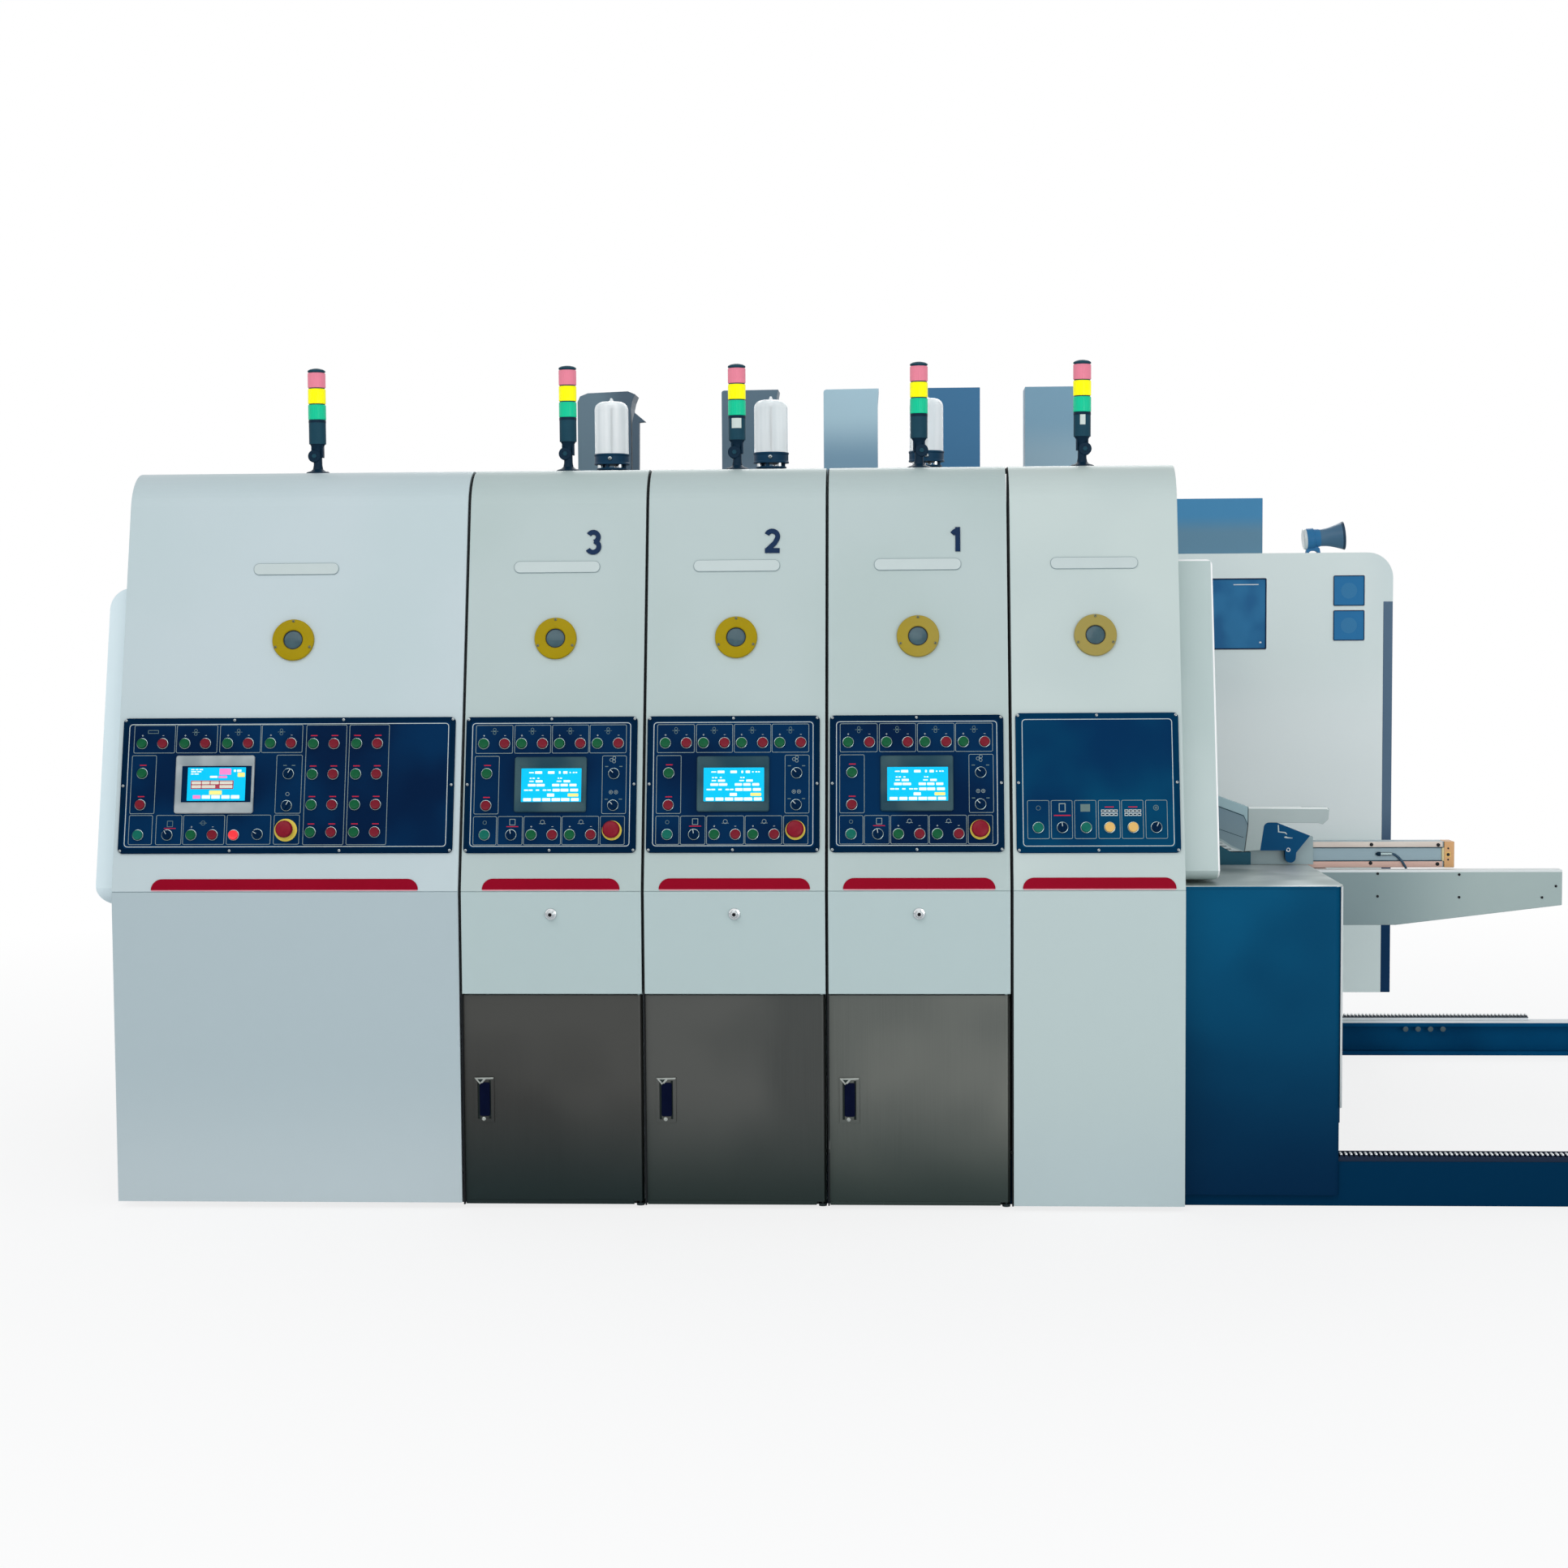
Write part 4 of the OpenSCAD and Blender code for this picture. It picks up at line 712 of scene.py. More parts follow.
def screen(piece, place, w, h, glass, look, border):
    """A touch screen with its bezel; returns the lit page's top left corner.

    glass is (u0, v0, width, height) of the lit page from the bezel's top left, and border the width
    of the dark glass beside and above it.
    """
    gu, gv, gw, gh = glass
    bu, bv = border
    x0, y0 = gu, h - gv - gh
    outer = round_rect(0, 0, w, h, 6, 4)
    edge = (x0 - bu, y0 - bv, x0 + gw + bu, y0 + gh + bv)
    ridge = round_rect(edge[0] - 7, edge[1] - 7, edge[2] + 7, edge[3] + 7, 3, 4)
    inner = round_rect(*edge, 1.5, 4)
    rings = (outer, 0), (outer, 5.0), (inset(outer, 2), 7.0), (ridge, 7.4), (inner, 3.0), (inner, 0)
    piece.add(stack([level(ring, z) for ring, z in rings], closed=True), look, place)
    if bu:
        piece.add(prism(inset(inner, -0.4), 0.4, 2.8), "knob_navy", place)
    piece.add(prism(round_rect(x0, y0, x0 + gw, y0 + gh, 1, 3), 0.6, 3.0), "screen_cyan", place)
    return place @ T(x0, y0 + gh, 3.0)


# Fields of the screens' pages: material, lift, and rows of (v0, v1, [(u0, u1), ...])
PRINT_PAGE = (
    ("screen_white", 0, [
        (24, 45, [(111, 168), (215, 268), (303, 318), (338, 373)]),
        (97, 115, [(116, 173), (343, 396)]),
        (127, 148, [(55, 118), (123, 191), (251, 309), (319, 377), (391, 448)]),
        (167, 190, [(255, 313), (319, 383), (397, 461)]),
        (206, 231, [(211, 269)]),
        (243, 268, [(19, 83), (97, 161), (173, 239), (249, 318), (325, 393), (405, 468)]),
        (30, 40, [(62, 101), (389, 402), (416, 432), (437, 452)]),
        (76, 86, [(68, 84), (90, 110), (130, 147), (295, 308), (314, 330)]),
        (101, 111, [(65, 101), (287, 325)]),
        (172, 184, [(24, 58), (62, 94), (119, 147), (176, 206), (212, 242)]),
    ]),
    ("screen_yellow", 0, [(206, 231, [(378, 463)])]),
)
DIE_PAGE = (
    ("screen_red", 0, [(115, 190, [(30, 405)])]),
    ("screen_white", 0, [
        (14, 24, [(28, 58), (66, 92), (100, 132)]), (32, 42, [(28, 74), (82, 118)]),
        (52, 62, [(28, 52), (58, 96)]), (74, 92, [(196, 262)]),
        (244, 275, [(132, 205), (215, 290), (303, 375), (387, 460)]),
        (20, 40, [(402, 424), (432, 470)]),
    ]),
    ("screen_pink", 0, [
        (10, 64, [(278, 380)]), (74, 94, [(272, 346)]), (244, 275, [(53, 120)]), (166, 184, [(60, 120)]),
    ]),
    ("screen_yellow", 0, [(46, 84, [(438, 500)]), (203, 240, [(195, 305)])]),
    ("ivory", 0.2, [
        (122, 148, [(38, 120), (128, 196), (204, 276), (284, 396)]),
        (156, 182, [(38, 120), (128, 246), (284, 396)]),
    ]),
)
# Each screen: its lower left corner from the panel's top left, size, lit glass, bezel, dark border,
# units of the page per millimetre, page
PRINT_SCREEN = ((122, -245), 183, 141.5, (17, 29.2, 153, 86.3), "bezel_dark", (0, 0), 3.18, PRINT_PAGE)
DIE_SCREEN = ((137.8, -245.6), 202.6, 149.2, (31.1, 30.6, 149.6, 86), "bezel_grey", (15, 4), 3.4, DIE_PAGE)


def add_screen(unit, corner, at, w, h, glass, look, border, scale, page):
    piece = Piece(f"{unit}_screen", UNITS[unit], "panel_navy")
    top_left = screen(piece, corner @ T(*at, 0), w, h, glass, look, border)
    for name, lift, rows in page:
        for row_top, row_end, spans in rows:
            v0, v1 = row_top / scale, row_end / scale
            for left, right in spans:
                field = round_rect(left / scale, -v1, right / scale, -v0, min(1.2, (v1 - v0) * 0.3), 2)
                piece.add(prism(field, 0, 0.25), name, top_left @ T(0, 0, lift))
    piece.make()


def boxes_row(v0, v1, spans):
    return [(u0, v0, u1, v1) for u0, u1 in spans]


# Frames printed on the panels, as (u0, v0, u1, v1) from the panel's top left
PRINT_BOXES = (
    boxes_row(20, 93.5, [(20, 115), (119, 212), (215, 309), (311, 405)])
    + [(19, 100, 82, 249.5), (344, 100, 406, 249.5)]
    + boxes_row(255, 328.5, [(18.5, 78.5), (81, 144.5), (147, 242), (244, 338), (341, 403.5)])
)
DIE_BOXES = (
    boxes_row(16, 89, [(25, 131.8), (135, 241), (247, 353), (355, 461)])
    + [(22, 94.6, 86, 246), (395.8, 94.6, 462.4, 246), (470, 17, 574.5, 327), (581, 17, 684, 327)]
    + boxes_row(249.4, 325.6, [(22, 83), (92, 158.7), (162, 269), (274, 387.6), (394.8, 461)])
)
FEED_BOXES = boxes_row(218.4, 316.3, [
    (26.3, 81.3), (85.5, 139.1), (143.8, 198.4), (203.1, 257.6), (261, 315.5), (320.7, 375.2)
])
# Half the distance of the two buttons of a pair
PAIR = 26.7
# The pairs' first place and their pitch along the top row
PRINT_U, PRINT_PITCH = 67.6, 96.7
DIE_U, DIE_PITCH = 73.5, 110.6


def pair(u, v):
    return [("cap_green", u - PAIR, v), ("cap_red", u + PAIR, v)]


def pairs(places):
    return [button for u, v in places for button in pair(u, v)]


# Buttons, as (kind or cap, u, v, a selector's angle or a stop's radius)
PRINT_CONTROLS = pairs((PRINT_U + PRINT_PITCH * k, 68.4) for k in range(4)) + [
    ("cap_green", 50.4, 145.7), ("cap_red", 49.9, 228), ("turn", 374, 146.6, 135),
    ("turn", 372.8, 227.8, 135), ("cap_teal", 48, 302.8), ("turn", 115.4, 302.8, 98),
] + pairs([(193.4, 302.8), (291.1, 302.8)]) + [("stop", 371.2, 292.2, 25)]
DIE_CONTROLS = pairs((DIE_U + DIE_PITCH * k, 64.4) for k in range(4)) + pairs(
    (u, v) for u in (516, 627.4) for v in (66.4, 145.3, 224.2, 294.7)
) + [
    ("cap_green", 50.7, 141.7), ("cap_red", 49.2, 223), ("turn", 427.8, 143.9, 60),
    ("turn", 425.9, 226.3, 60), ("cap_teal", 46.9, 300.9), ("turn", 122.2, 300.9, 120),
    ("cap_green", 183.9, 300.9), ("cap_red", 238.6, 300.9), ("cap_lit", 293.2, 301.5),
    ("turn", 354, 299.6, 150), ("stop", 426.4, 289.1, 29),
]
FEED_V = 287.8
FEED_CONTROLS = [
    ("cap_teal", 53.3, FEED_V), ("turn", 113.5, FEED_V, 98), ("cap_teal", 172.7, FEED_V),
    ("cap_yellow", 231, FEED_V), ("cap_yellow", 289.4, FEED_V), ("turn", 347.2, FEED_V, 66),
]


class Marks:
    """Flat printed marks on a panel, at (u, v) from its top left corner."""

    def __init__(self, piece, place):
        self.piece, self.place = piece, place

    def bar(self, u, v, w, h, look, lift=0.0):
        shape = block(u - w / 2, u + w / 2, -v - h / 2, -v + h / 2, 0, 0.2)
        self.piece.add(shape, look, self.place @ T(0, 0, lift))

    def ring(self, u, v, r, look, w=1.1):
        profile = [(r, 0), (r, 0.2), (r - w, 0.2), (r - w, 0)]
        self.piece.turn(profile, 24, look, self.place @ T(u, -v, 0), True)

    def frame(self, u0, v0, u1, v1, r, w, look):
        self.piece.add(line_frame(u0, -v1, u1, -v0, r, w, 0, 0.2), look, self.place)

    def rolls(self, u, v):
        """Two rolls with a sheet between them."""
        self.ring(u, v - 4.4, 4.2, "print_dim")
        self.ring(u, v + 4.4, 4.2, "print_dim")
        self.bar(u, v, 19, 1.0, "print_dim")

    def sheets(self, u, v, look):
        """A stack of sheets on a red base."""
        self.frame(u - 7.5, v - 8, u + 7.5, v + 8, 1, 1.4, look)
        self.bar(u, v + 11.5, 30, 2.0, "print_red")

    def signs(self, controls, far_u):
        """Plus and minus signs over paired buttons, and red bars over single ones and past far_u."""
        for kind, u, v, *_ in controls:
            if kind not in ("cap_green", "cap_red"):
                continue
            if (130 < v < 240 and u < 60) or u > far_u:
                self.bar(u + 1, v - 21.5, 17, 2.6, "print_red")
            else:
                self.bar(u, v - 21, 4.6, 0.9, "print_white")
                if kind == "cap_green":
                    self.bar(u, v - 21, 0.9, 4.6, "print_white")


def print_marks(marks):
    for k in range(4):
        marks.rolls(PRINT_U + PRINT_PITCH * k, 36)
    for u in (194.5, 292.5):
        marks.ring(u, 270, 5.6, "print_grey")
        marks.bar(u, 274, 17, 1.0, "print_grey")
    marks.sheets(118.5, 270, "print_grey")
    for u, v in ((374, 115), (367, 111), (374.5, 106)):
        marks.ring(u, v, 4.4, "print_grey")
    for u in (367, 380):
        marks.ring(u, 194, 5, "print_grey")
        marks.ring(u, 194, 1.8, "print_grey")
    for v in (128, 212):
        for u in (355.5, 391.5):
            marks.bar(u, v, 8, 2.2, "print_dim")
    marks.ring(48, 271, 5, "print_dim")


def die_marks(marks):
    marks.frame(60, 29, 88, 38, 1.5, 1.4, "print_dim")
    for k in (1, 2, 3):
        marks.rolls(DIE_U + DIE_PITCH * k, 35)
    marks.sheets(128, 272, "print_dim")
    marks.ring(213, 270, 6, "print_dim")
    marks.bar(213, 270, 20, 1.0, "print_dim")
    marks.ring(427, 196, 5, "print_grey")
    for u in (418, 440):
        marks.bar(u, 122, 9, 2.0, "print_dim")


def feed_marks(marks):
    marks.frame(105, 226, 122, 248, 1, 2.2, "print_grey")
    marks.bar(113.5, 257, 42, 2.6, "print_red")
    marks.bar(171, 238, 24, 19, "print_dim")
    marks.ring(347, 238, 7, "print_dim", 1.6)
    marks.ring(347, 238, 3, "print_dim", 1.6)
    marks.ring(54, 238, 6, "print_dim")
    for u in (231, 289.4):
        marks.bar(u, 236, 22, 2.4, "print_red")
        for k in range(4):
            for v in (246, 255):
                marks.bar(u - 16 + 10.6 * k, v, 9.4, 7, "print_white")
                marks.bar(u - 16 + 10.6 * k, v, 6.4, 3.4, "panel_rim", 0.15)


# How far each panel reaches past its own plate: left, right, top and bottom
PANEL_REACH = {"die": (4.5, 0.5, 2.5, 1), "feed": (1, -0.5, 5, 4.3)}
PRINT_REACH = (5.5, -4, 1.5, 1.5)
RIM_W = 13
LINE_IN = 16
SCREW_IN = 6.5
FILM_T = 0.5


def control_panel(unit, boxes, controls, draw_marks, screen_of=None):
    body = UNITS[unit]
    colour = "feed" if unit == "feed" else "panel"
    lo, hi = span(f"{unit}_panel")
    left, right, up, down = PANEL_REACH.get(unit, PRINT_REACH)
    x0, y0, x1, y1 = -left, -down, hi.x - lo.x + right, PANEL_H + up
    base = on_face(lo.x, PANEL_UP)

    def within(d, *corner):
        return x0 + d, y0 + d, x1 - d, y1 - d, *corner

    plate = Piece(f"{unit}_panel_plate", body, "panel_navy", [f"{unit}_panel"])
    plate.add(prism(round_rect(*within(0, 12, 5)), 0, PANEL_T, 1.6, 0, 3), f"{colour}_rim", base)
    inside = round_rect(*within(RIM_W, 7, 4))
    plate.add(prism(inside, PANEL_T - 0.1, PANEL_T + FILM_T, 0.2), f"{colour}_film", base)
    plate.make()

    top = PANEL_T + FILM_T
    corner = base @ T(0, PANEL_H, top)
    lines = Piece(f"{unit}_panel_lines", body, "panel_navy")
    lines.add(line_frame(*within(LINE_IN, 9, 1.7), top - 0.2, top + 0.25), "print_white", base)
    for u0, v0, u1, v1 in boxes:
        shape = line_frame(u0, PANEL_H - v1, u1, PANEL_H - v0, 4, 1.2, top - 0.2, top + 0.2)
        lines.add(shape, "print_grey", base)
    marks = Marks(lines, corner)
    marks.signs(controls, 480)
    draw_marks(marks)
    lines.make()

    screws = Piece(f"{unit}_panel_screws", body)
    across = 4 if unit == "die" else 3
    for k in range(across):
        for v in (y0 + SCREW_IN, y1 - SCREW_IN):
            u = x0 + SCREW_IN + (x1 - x0 - 2 * SCREW_IN) * k / (across - 1)
            screw_head(screws, base @ T(u, v, PANEL_T), slot_angle=17 * (u + v))
    for u in (x0 + SCREW_IN, x1 - SCREW_IN):
        screw_head(screws, base @ T(u, PANEL_H / 2, PANEL_T), slot_angle=23 * u)
    screws.make()

    knobs = Piece(f"{unit}_panel_buttons", body)
    for kind, u, v, *more in controls:
        place = base @ T(u, PANEL_H - v, top)
        if kind == "turn":
            selector(knobs, place, *more)
        elif kind == "stop":
            stop_button(knobs, place, *more)
        else:
            push_button(knobs, place, kind)
    knobs.make()
    if screen_of:
        add_screen(unit, corner, *screen_of)


control_panel("die", DIE_BOXES, DIE_CONTROLS, die_marks, DIE_SCREEN)
for each in PRINTS:
    control_panel(each, PRINT_BOXES, PRINT_CONTROLS, print_marks, PRINT_SCREEN)
control_panel("feed", FEED_BOXES, FEED_CONTROLS, feed_marks)


# ---------------------------------------------------------------- ports, stripes, plates, numerals

STRIPE_UP = 3
STRIPE_R = 28
NUMERAL_UP = PLATE_UP + 65


def sight_port(unit):
    port = Piece(f"{unit}_sight_port", UNITS[unit], replaces=[f"{unit}_fittings"])
    place = on_face(middle(unit), PORT_UP)
    ring = [(25, 0), (54, 0), (54, 6.5), (53.2, 8.6), (51, 9.8), (29, 10), (26.4, 9.2), (25, 7)]
    port.turn(ring, 64, "ring_yellow", place, True)
    port.turn([(23, 0), (23, 5.6), (18, 6.4), (6, 6.9)], 48, "port_glass", place)
    port.turn([(25, 4.8), (25, 7.4), (23.2, 7.2), (23.2, 4.0)], 48, "black_steel", place, True)
    for a in (90, 204, 336):
        screw_head(port, place @ R(a, "Z") @ T(48.4, 0, 9.7), 3.6, "port_screw")
    port.make()


def stripe(unit):
    lo, hi = span(f"{unit}_fittings")
    w, r = hi.x - lo.x, STRIPE_R
    piece = Piece(f"{unit}_stripe", UNITS[unit])
    band = [(0, 0), (w, 0)] + arc(w - r, 0, r, 0, 90, 8)[1:] + arc(r, 0, r, 90, 180, 8)[:-1]
    piece.add(prism(band, 0, 1.6, 0.6), "stripe_red", on_face(lo.x, STRIPE_UP))
    piece.add(prism(round_rect(2, 0, w - 2, 2.6, 0.6, 2), 0, 1.2), "stripe_pink", on_face(lo.x, 0.2))
    piece.make()


def name_plate(unit):
    """A bare plate."""
    place = on_face(middle(unit), PLATE_UP)
    plate = Piece(f"{unit}_name_plate", UNITS[unit])
    plate.add(prism(round_rect(-111, -15.5, 111, 15.5, 14.5, 8), 0, 2.6, 1.0, 0, 3), "plate_rim", place)
    plate.add(prism(round_rect(-109.6, -14.1, 109.6, 14.1, 13.1, 8), 2.4, 3.0, 0.3), "plate_sheet", place)
    plate.make()


def cam_lock(unit):
    lock = Piece(f"{unit}_lock", UNITS[unit])
    place = facing(middle(unit), -0.3, LOCK_Z)
    lock.turn([(15.5, 0), (15.5, 2.6), (14, 4.6), (10.5, 5.4), (9.4, 5.0)], 40, "chrome", place)
    lock.turn([(8.5, 4), (8.5, 16), (7.6, 18.6), (6.6, 19.4)], 32, "chrome", place)
    lock.turn([(4.6, 19.2), (4.6, 19.6), (3.8, 19.7)], 24, "black_steel", place)
    lock.add(block(-0.8, 0.8, -3.4, 3.4, 19.6, 19.7), "chrome", place)
    lock.make()


# Each printing unit's number: its strokes with their middle at the origin, and its distance from the
# unit's middle
NUMERALS = {
    "print3": ([arc(-2.4, 13.2, 13.2, 150, -80, 16), arc(-2.4, -11.8, 15, 80, -152, 18)], 94.5),
    "print2": ([
        arc(-1, 11.2, 14.4, 158, -28, 14) + [(6, -6), (-13.6, -25)], [(-19.4, -26), (18.4, -26)]
    ], 91.5),
    "print1": ([[(4.4, 32), (4.4, -32)], [(5, 25), (-4, 20), (-9.4, 14)]], 98.5),
}
NUMERAL_W = 12.6


def numeral(unit, strokes, dx):
    piece = Piece(f"{unit}_numeral", UNITS[unit])
    for k, path in enumerate(strokes):
        place = on_face(middle(unit) + dx, NUMERAL_UP)
        piece.add(stroke(path, NUMERAL_W, 3 + 0.1 * k), "numeral_blue", place)
    piece.make()


for each in UNITS:
    sight_port(each)
    stripe(each)
    name_plate(each)
    if each in PRINTS:
        cam_lock(each)
for each, number in NUMERALS.items():
    numeral(each, *number)


# ---------------------------------------------------------------- signal lamps

# Each lamp's label as its half width in degrees, and the side its knuckle is turned to
LABELS = {"print2": 34, "feed": 18}
KNUCKLE = {"print1": 1, "feed": 1}
LENS_H = 42


def signal_lamp(unit):
    body = UNITS[unit]
    lo, hi = span(f"{unit}_beacon")
    place = T((lo.x + hi.x) / 2, (lo.y + hi.y) / 2, lo.z)
    stand = Piece(f"{unit}_lamp_stand", body, "lamp_plastic", [f"{unit}_beacon"])
    foot = [(31, 0), (31, 2.4), (28, 4.4), (19, 7), (13.5, 12), (11.5, 22), (11, 50)]
    stand.turn(foot, 40, "lamp_dark", place)
    stand.turn([(11, 48), (12, 62), (15.5, 70), (21, 79)], 32, "lamp_dark", place)
    disc = place @ T(7 * KNUCKLE.get(unit, -1), -13, 46) @ R(-90, "X")
    stand.turn([(15, 0), (17, 2), (17, 22), (15, 24)], 32, "lamp_dark", disc)
    stand.turn([(5.4, -2.2), (6.6, -1.2), (6.6, 0.4)], 6, "lamp_body", disc)
    for x in (-13.5, 13.5):
        stand.add(block(x - 2.4, x + 2.4, -9, 9, 42, 80, 1.2), "lamp_dark", place)
    stand.turn([(22.4, 78), (22.4, 138), (21.6, 141)], 40, "lamp_body", place)
    stand.turn([(22.9, 134), (22.9, 140), (22, 142)], 40, "lamp_dark", place)
    for a in (20, 160):
        screw_head(stand, place @ R(a, "Z") @ T(25, 0, 4), 3.2, "lamp_body")
    wide = LABELS.get(unit)
    if wide:
        points = [polar(22.7, a - 90) for a in range(-wide, wide + 1, 4)]
        inner = [(0.985 * x, 0.985 * y) for x, y in reversed(points)]
        stand.add(prism(points + inner, 108, 134), "label_white", place)
    stand.make()

    lenses = Piece(f"{unit}_lamp_lenses", body, "lamp_plastic")
    for k, colour in enumerate(("lens_green", "lens_yellow", "lens_red")):
        z = 142 + LENS_H * k
        lens = [(22.4, z), (23.4, z + 1.5), (23.4, z + 37), (22.4, z + 39)]
        lenses.add(lathe(lens, 96, flutes=24, depth=0.7), colour, place)
        lenses.turn([(21, z + 38.6), (21, z + LENS_H)], 40, "lamp_body", place)
    lenses.make()
    cap = Piece(f"{unit}_lamp_cap", body, "lamp_plastic")
    cap.turn([(23.4, 267.6), (23.4, 269.5), (22.4, 271.6), (17, 274.6), (8, 276.6)], 40, "lamp_body", place)
    cap.make()


for each in UNITS:
    signal_lamp(each)


# ---------------------------------------------------------------- oil domes

def oil_dome(unit):
    body = UNITS[unit]
    lo, hi = span(f"{unit}_oil_dome")
    place = T((lo.x + hi.x) / 2, (lo.y + hi.y) / 2, lo.z + PEDESTAL_H)
    stand = Piece(f"{unit}_dome_ring", body, "dome_glass", [f"{unit}_oil_dome"])
    stand.turn([(40, -PEDESTAL_H), (40, -1), (38, 0.5)], 48, "dome_ring", place)
    stand.turn([(45, 0), (45, 3), (44, 4)], 48, "dome_ring", place)
    for k in range(6):
        leg = place @ R(60 * k + 15, "Z") @ T(36, 0, 0)
        stand.turn([(6, 3), (6, 14.4)], 20, "chrome" if k % 2 else "dome_ring", leg)
    stand.turn([
        (44, 14), (52, 14), (52, 18), (50.6, 20), (50.6, 38), (52, 40), (52, 44), (51, 45), (49.4, 45),
        (49.4, 39), (44, 39)
    ], 64, "dome_ring", place, True)
    stand.turn([(49, 14.5), (49, 18)], 48, "dome_ring", place)
    screw_head(stand, place @ T(0, -50.4, 30) @ R(90, "X"), 6)
    stand.make()

    core = Piece(f"{unit}_dome_core", body, "dome_glass")
    core.turn([(3.4, 18), (3.4, 176), (2.4, 180)], 20, "dome_rod", place)
    core.turn([(40, 19), (40, 44), (39, 45)], 40, "dome_rod", place)
    for z in range(74, 163, 11):
        core.turn([(6, z), (6, z + 2), (3.4, z + 4), (3.4, z - 1)], 20, "dome_rod", place, True)
    core.make()

    glass = Piece(f"{unit}_dome_jar", body, "dome_glass")
    outer = [(49, 39.4)] + arc(25, 173.3, 24, 0, 90, 8) + [(9, 197.4), (6.5, 200), (2.5, 208.5)]
    inner = [(1.0, 192)] + arc(25, 173.3, 21.5, 90, 0, 8) + [(46.5, 39.4)]
    glass.turn(outer + inner, 64, "dome_glass", place, True)
    glass.make()


for each in PRINTS:
    oil_dome(each)


# ---------------------------------------------------------------- doors

# The pulls' middle: from the unit's left edge, behind the covers' front, over the floor
PULL_PLACE = (50.5, 15, 279)


def door_pull(unit):
    body = f"door_{unit[-1]}"
    lo, hi = span(f"{unit}_door")
    x, y, z = PULL_PLACE
    place = facing(edges_of(unit)[0] + x, y, z)
    pull = Piece(f"{unit}_door_pull", body)
    rim = hollow(round_rect(-25, -57, 25, 57, 3, 3), round_rect(-22.6, -54.6, 22.6, 54.6, 2, 3), -9, 2.8, 0.8)
    pull.add(rim, "pull_frame", place)
    pull.add(prism(round_rect(-23, -55, 23, 55, 2, 3), -9, -1.6), "pull_recess", place)
    cheek = [(-25, 56), (-10, 38), (-6, 40), (4, 52), (23, 53), (25, 57)]
    pull.add(prism(cheek, -1, 4.2, 0.6), "pull_frame", place)
    pull.add(prism([(-17, 52.6), (-9.6, 43.6), (-2, 52.4)], 3.9, 4.5, 0.1), "pull_recess", place)
    pull.add(prism(round_rect(-12, -42, 14, 44, 5, 4), -2, 4.2, 1.6, 0, 3), "pull_grip", place)
    pull.turn([(5, -2), (5, 3), (3.4, 4.2)], 24, "pull_frame", place @ T(-2, -49.4, 0))
    pull.make()
    kick = Piece(f"{unit}_door_kick", body, "door_steel")
    bar = block(lo.x + 1, hi.x - 25, lo.y + 0.5, lo.y + 8, lo.z - 8, lo.z + 1, 0.6)
    kick.add(bar, f"door_steel_{unit[-1]}")
    kick.make()


for each in PRINTS:
    door_pull(each)


# ---------------------------------------------------------------- seals between the units

SEAL_LOW = 12
SEAL_BACK = 415
# How far a seal's near and far side stand out of its unit's left side
SEAL_SIDES = (4.0, 0.2)


def cover_path(depth):
    """Points (y, z) along a cover's outside, moved inwards by depth."""
    lean = radians(LEAN)
    round_z = TOP_Z - TOP_R
    round_y = (round_z - CREASE_Z) * tan(lean) + TOP_R / cos(lean)
    top = arc(round_y, round_z, TOP_R - depth, 180 - LEAN, 90, 10)
    return [(depth, SEAL_LOW), (depth, CREASE_Z)] + top + [(SEAL_BACK, TOP_Z - depth)]


def seal(unit):
    """A rubber strip in the gap on a unit's left side."""
    x0 = edges_of(unit)[0]
    outer, inner = cover_path(3), cover_path(15)
    outline = outer + inner[::-1]
    n = len(outline)
    points = [(x0 - out, y, z) for out in SEAL_SIDES for y, z in outline]
    faces = [(k, (k + 1) % n, n + (k + 1) % n, n + k) for k in range(n)]
    for base in (0, n):
        faces += [(base + k, base + k + 1, base + n - 2 - k, base + n - 1 - k) for k in range(len(outer) - 1)]
    piece = Piece(f"{unit}_seal", UNITS[unit])
    piece.add((points, faces), "rubber")
    piece.make()


for each in (*PRINTS, "feed"):
    seal(each)


# ---------------------------------------------------------------- feeder

class FeederPiece(Piece):
    def __init__(self, name, slot="fitting_paint", replaces=()):
        super().__init__(name, "feeding_unit", slot, replaces)


# Windows of the rear housing: name, share of the housing's length, drop under its top, width, height
WINDOWS = (
    ("big_window", 0.262, 82, 257, 233),
    ("upper_window", 0.786, 75, 101, 99),
    ("lower_window", 0.786, 75 + 99 + 15, 101, 99),
)


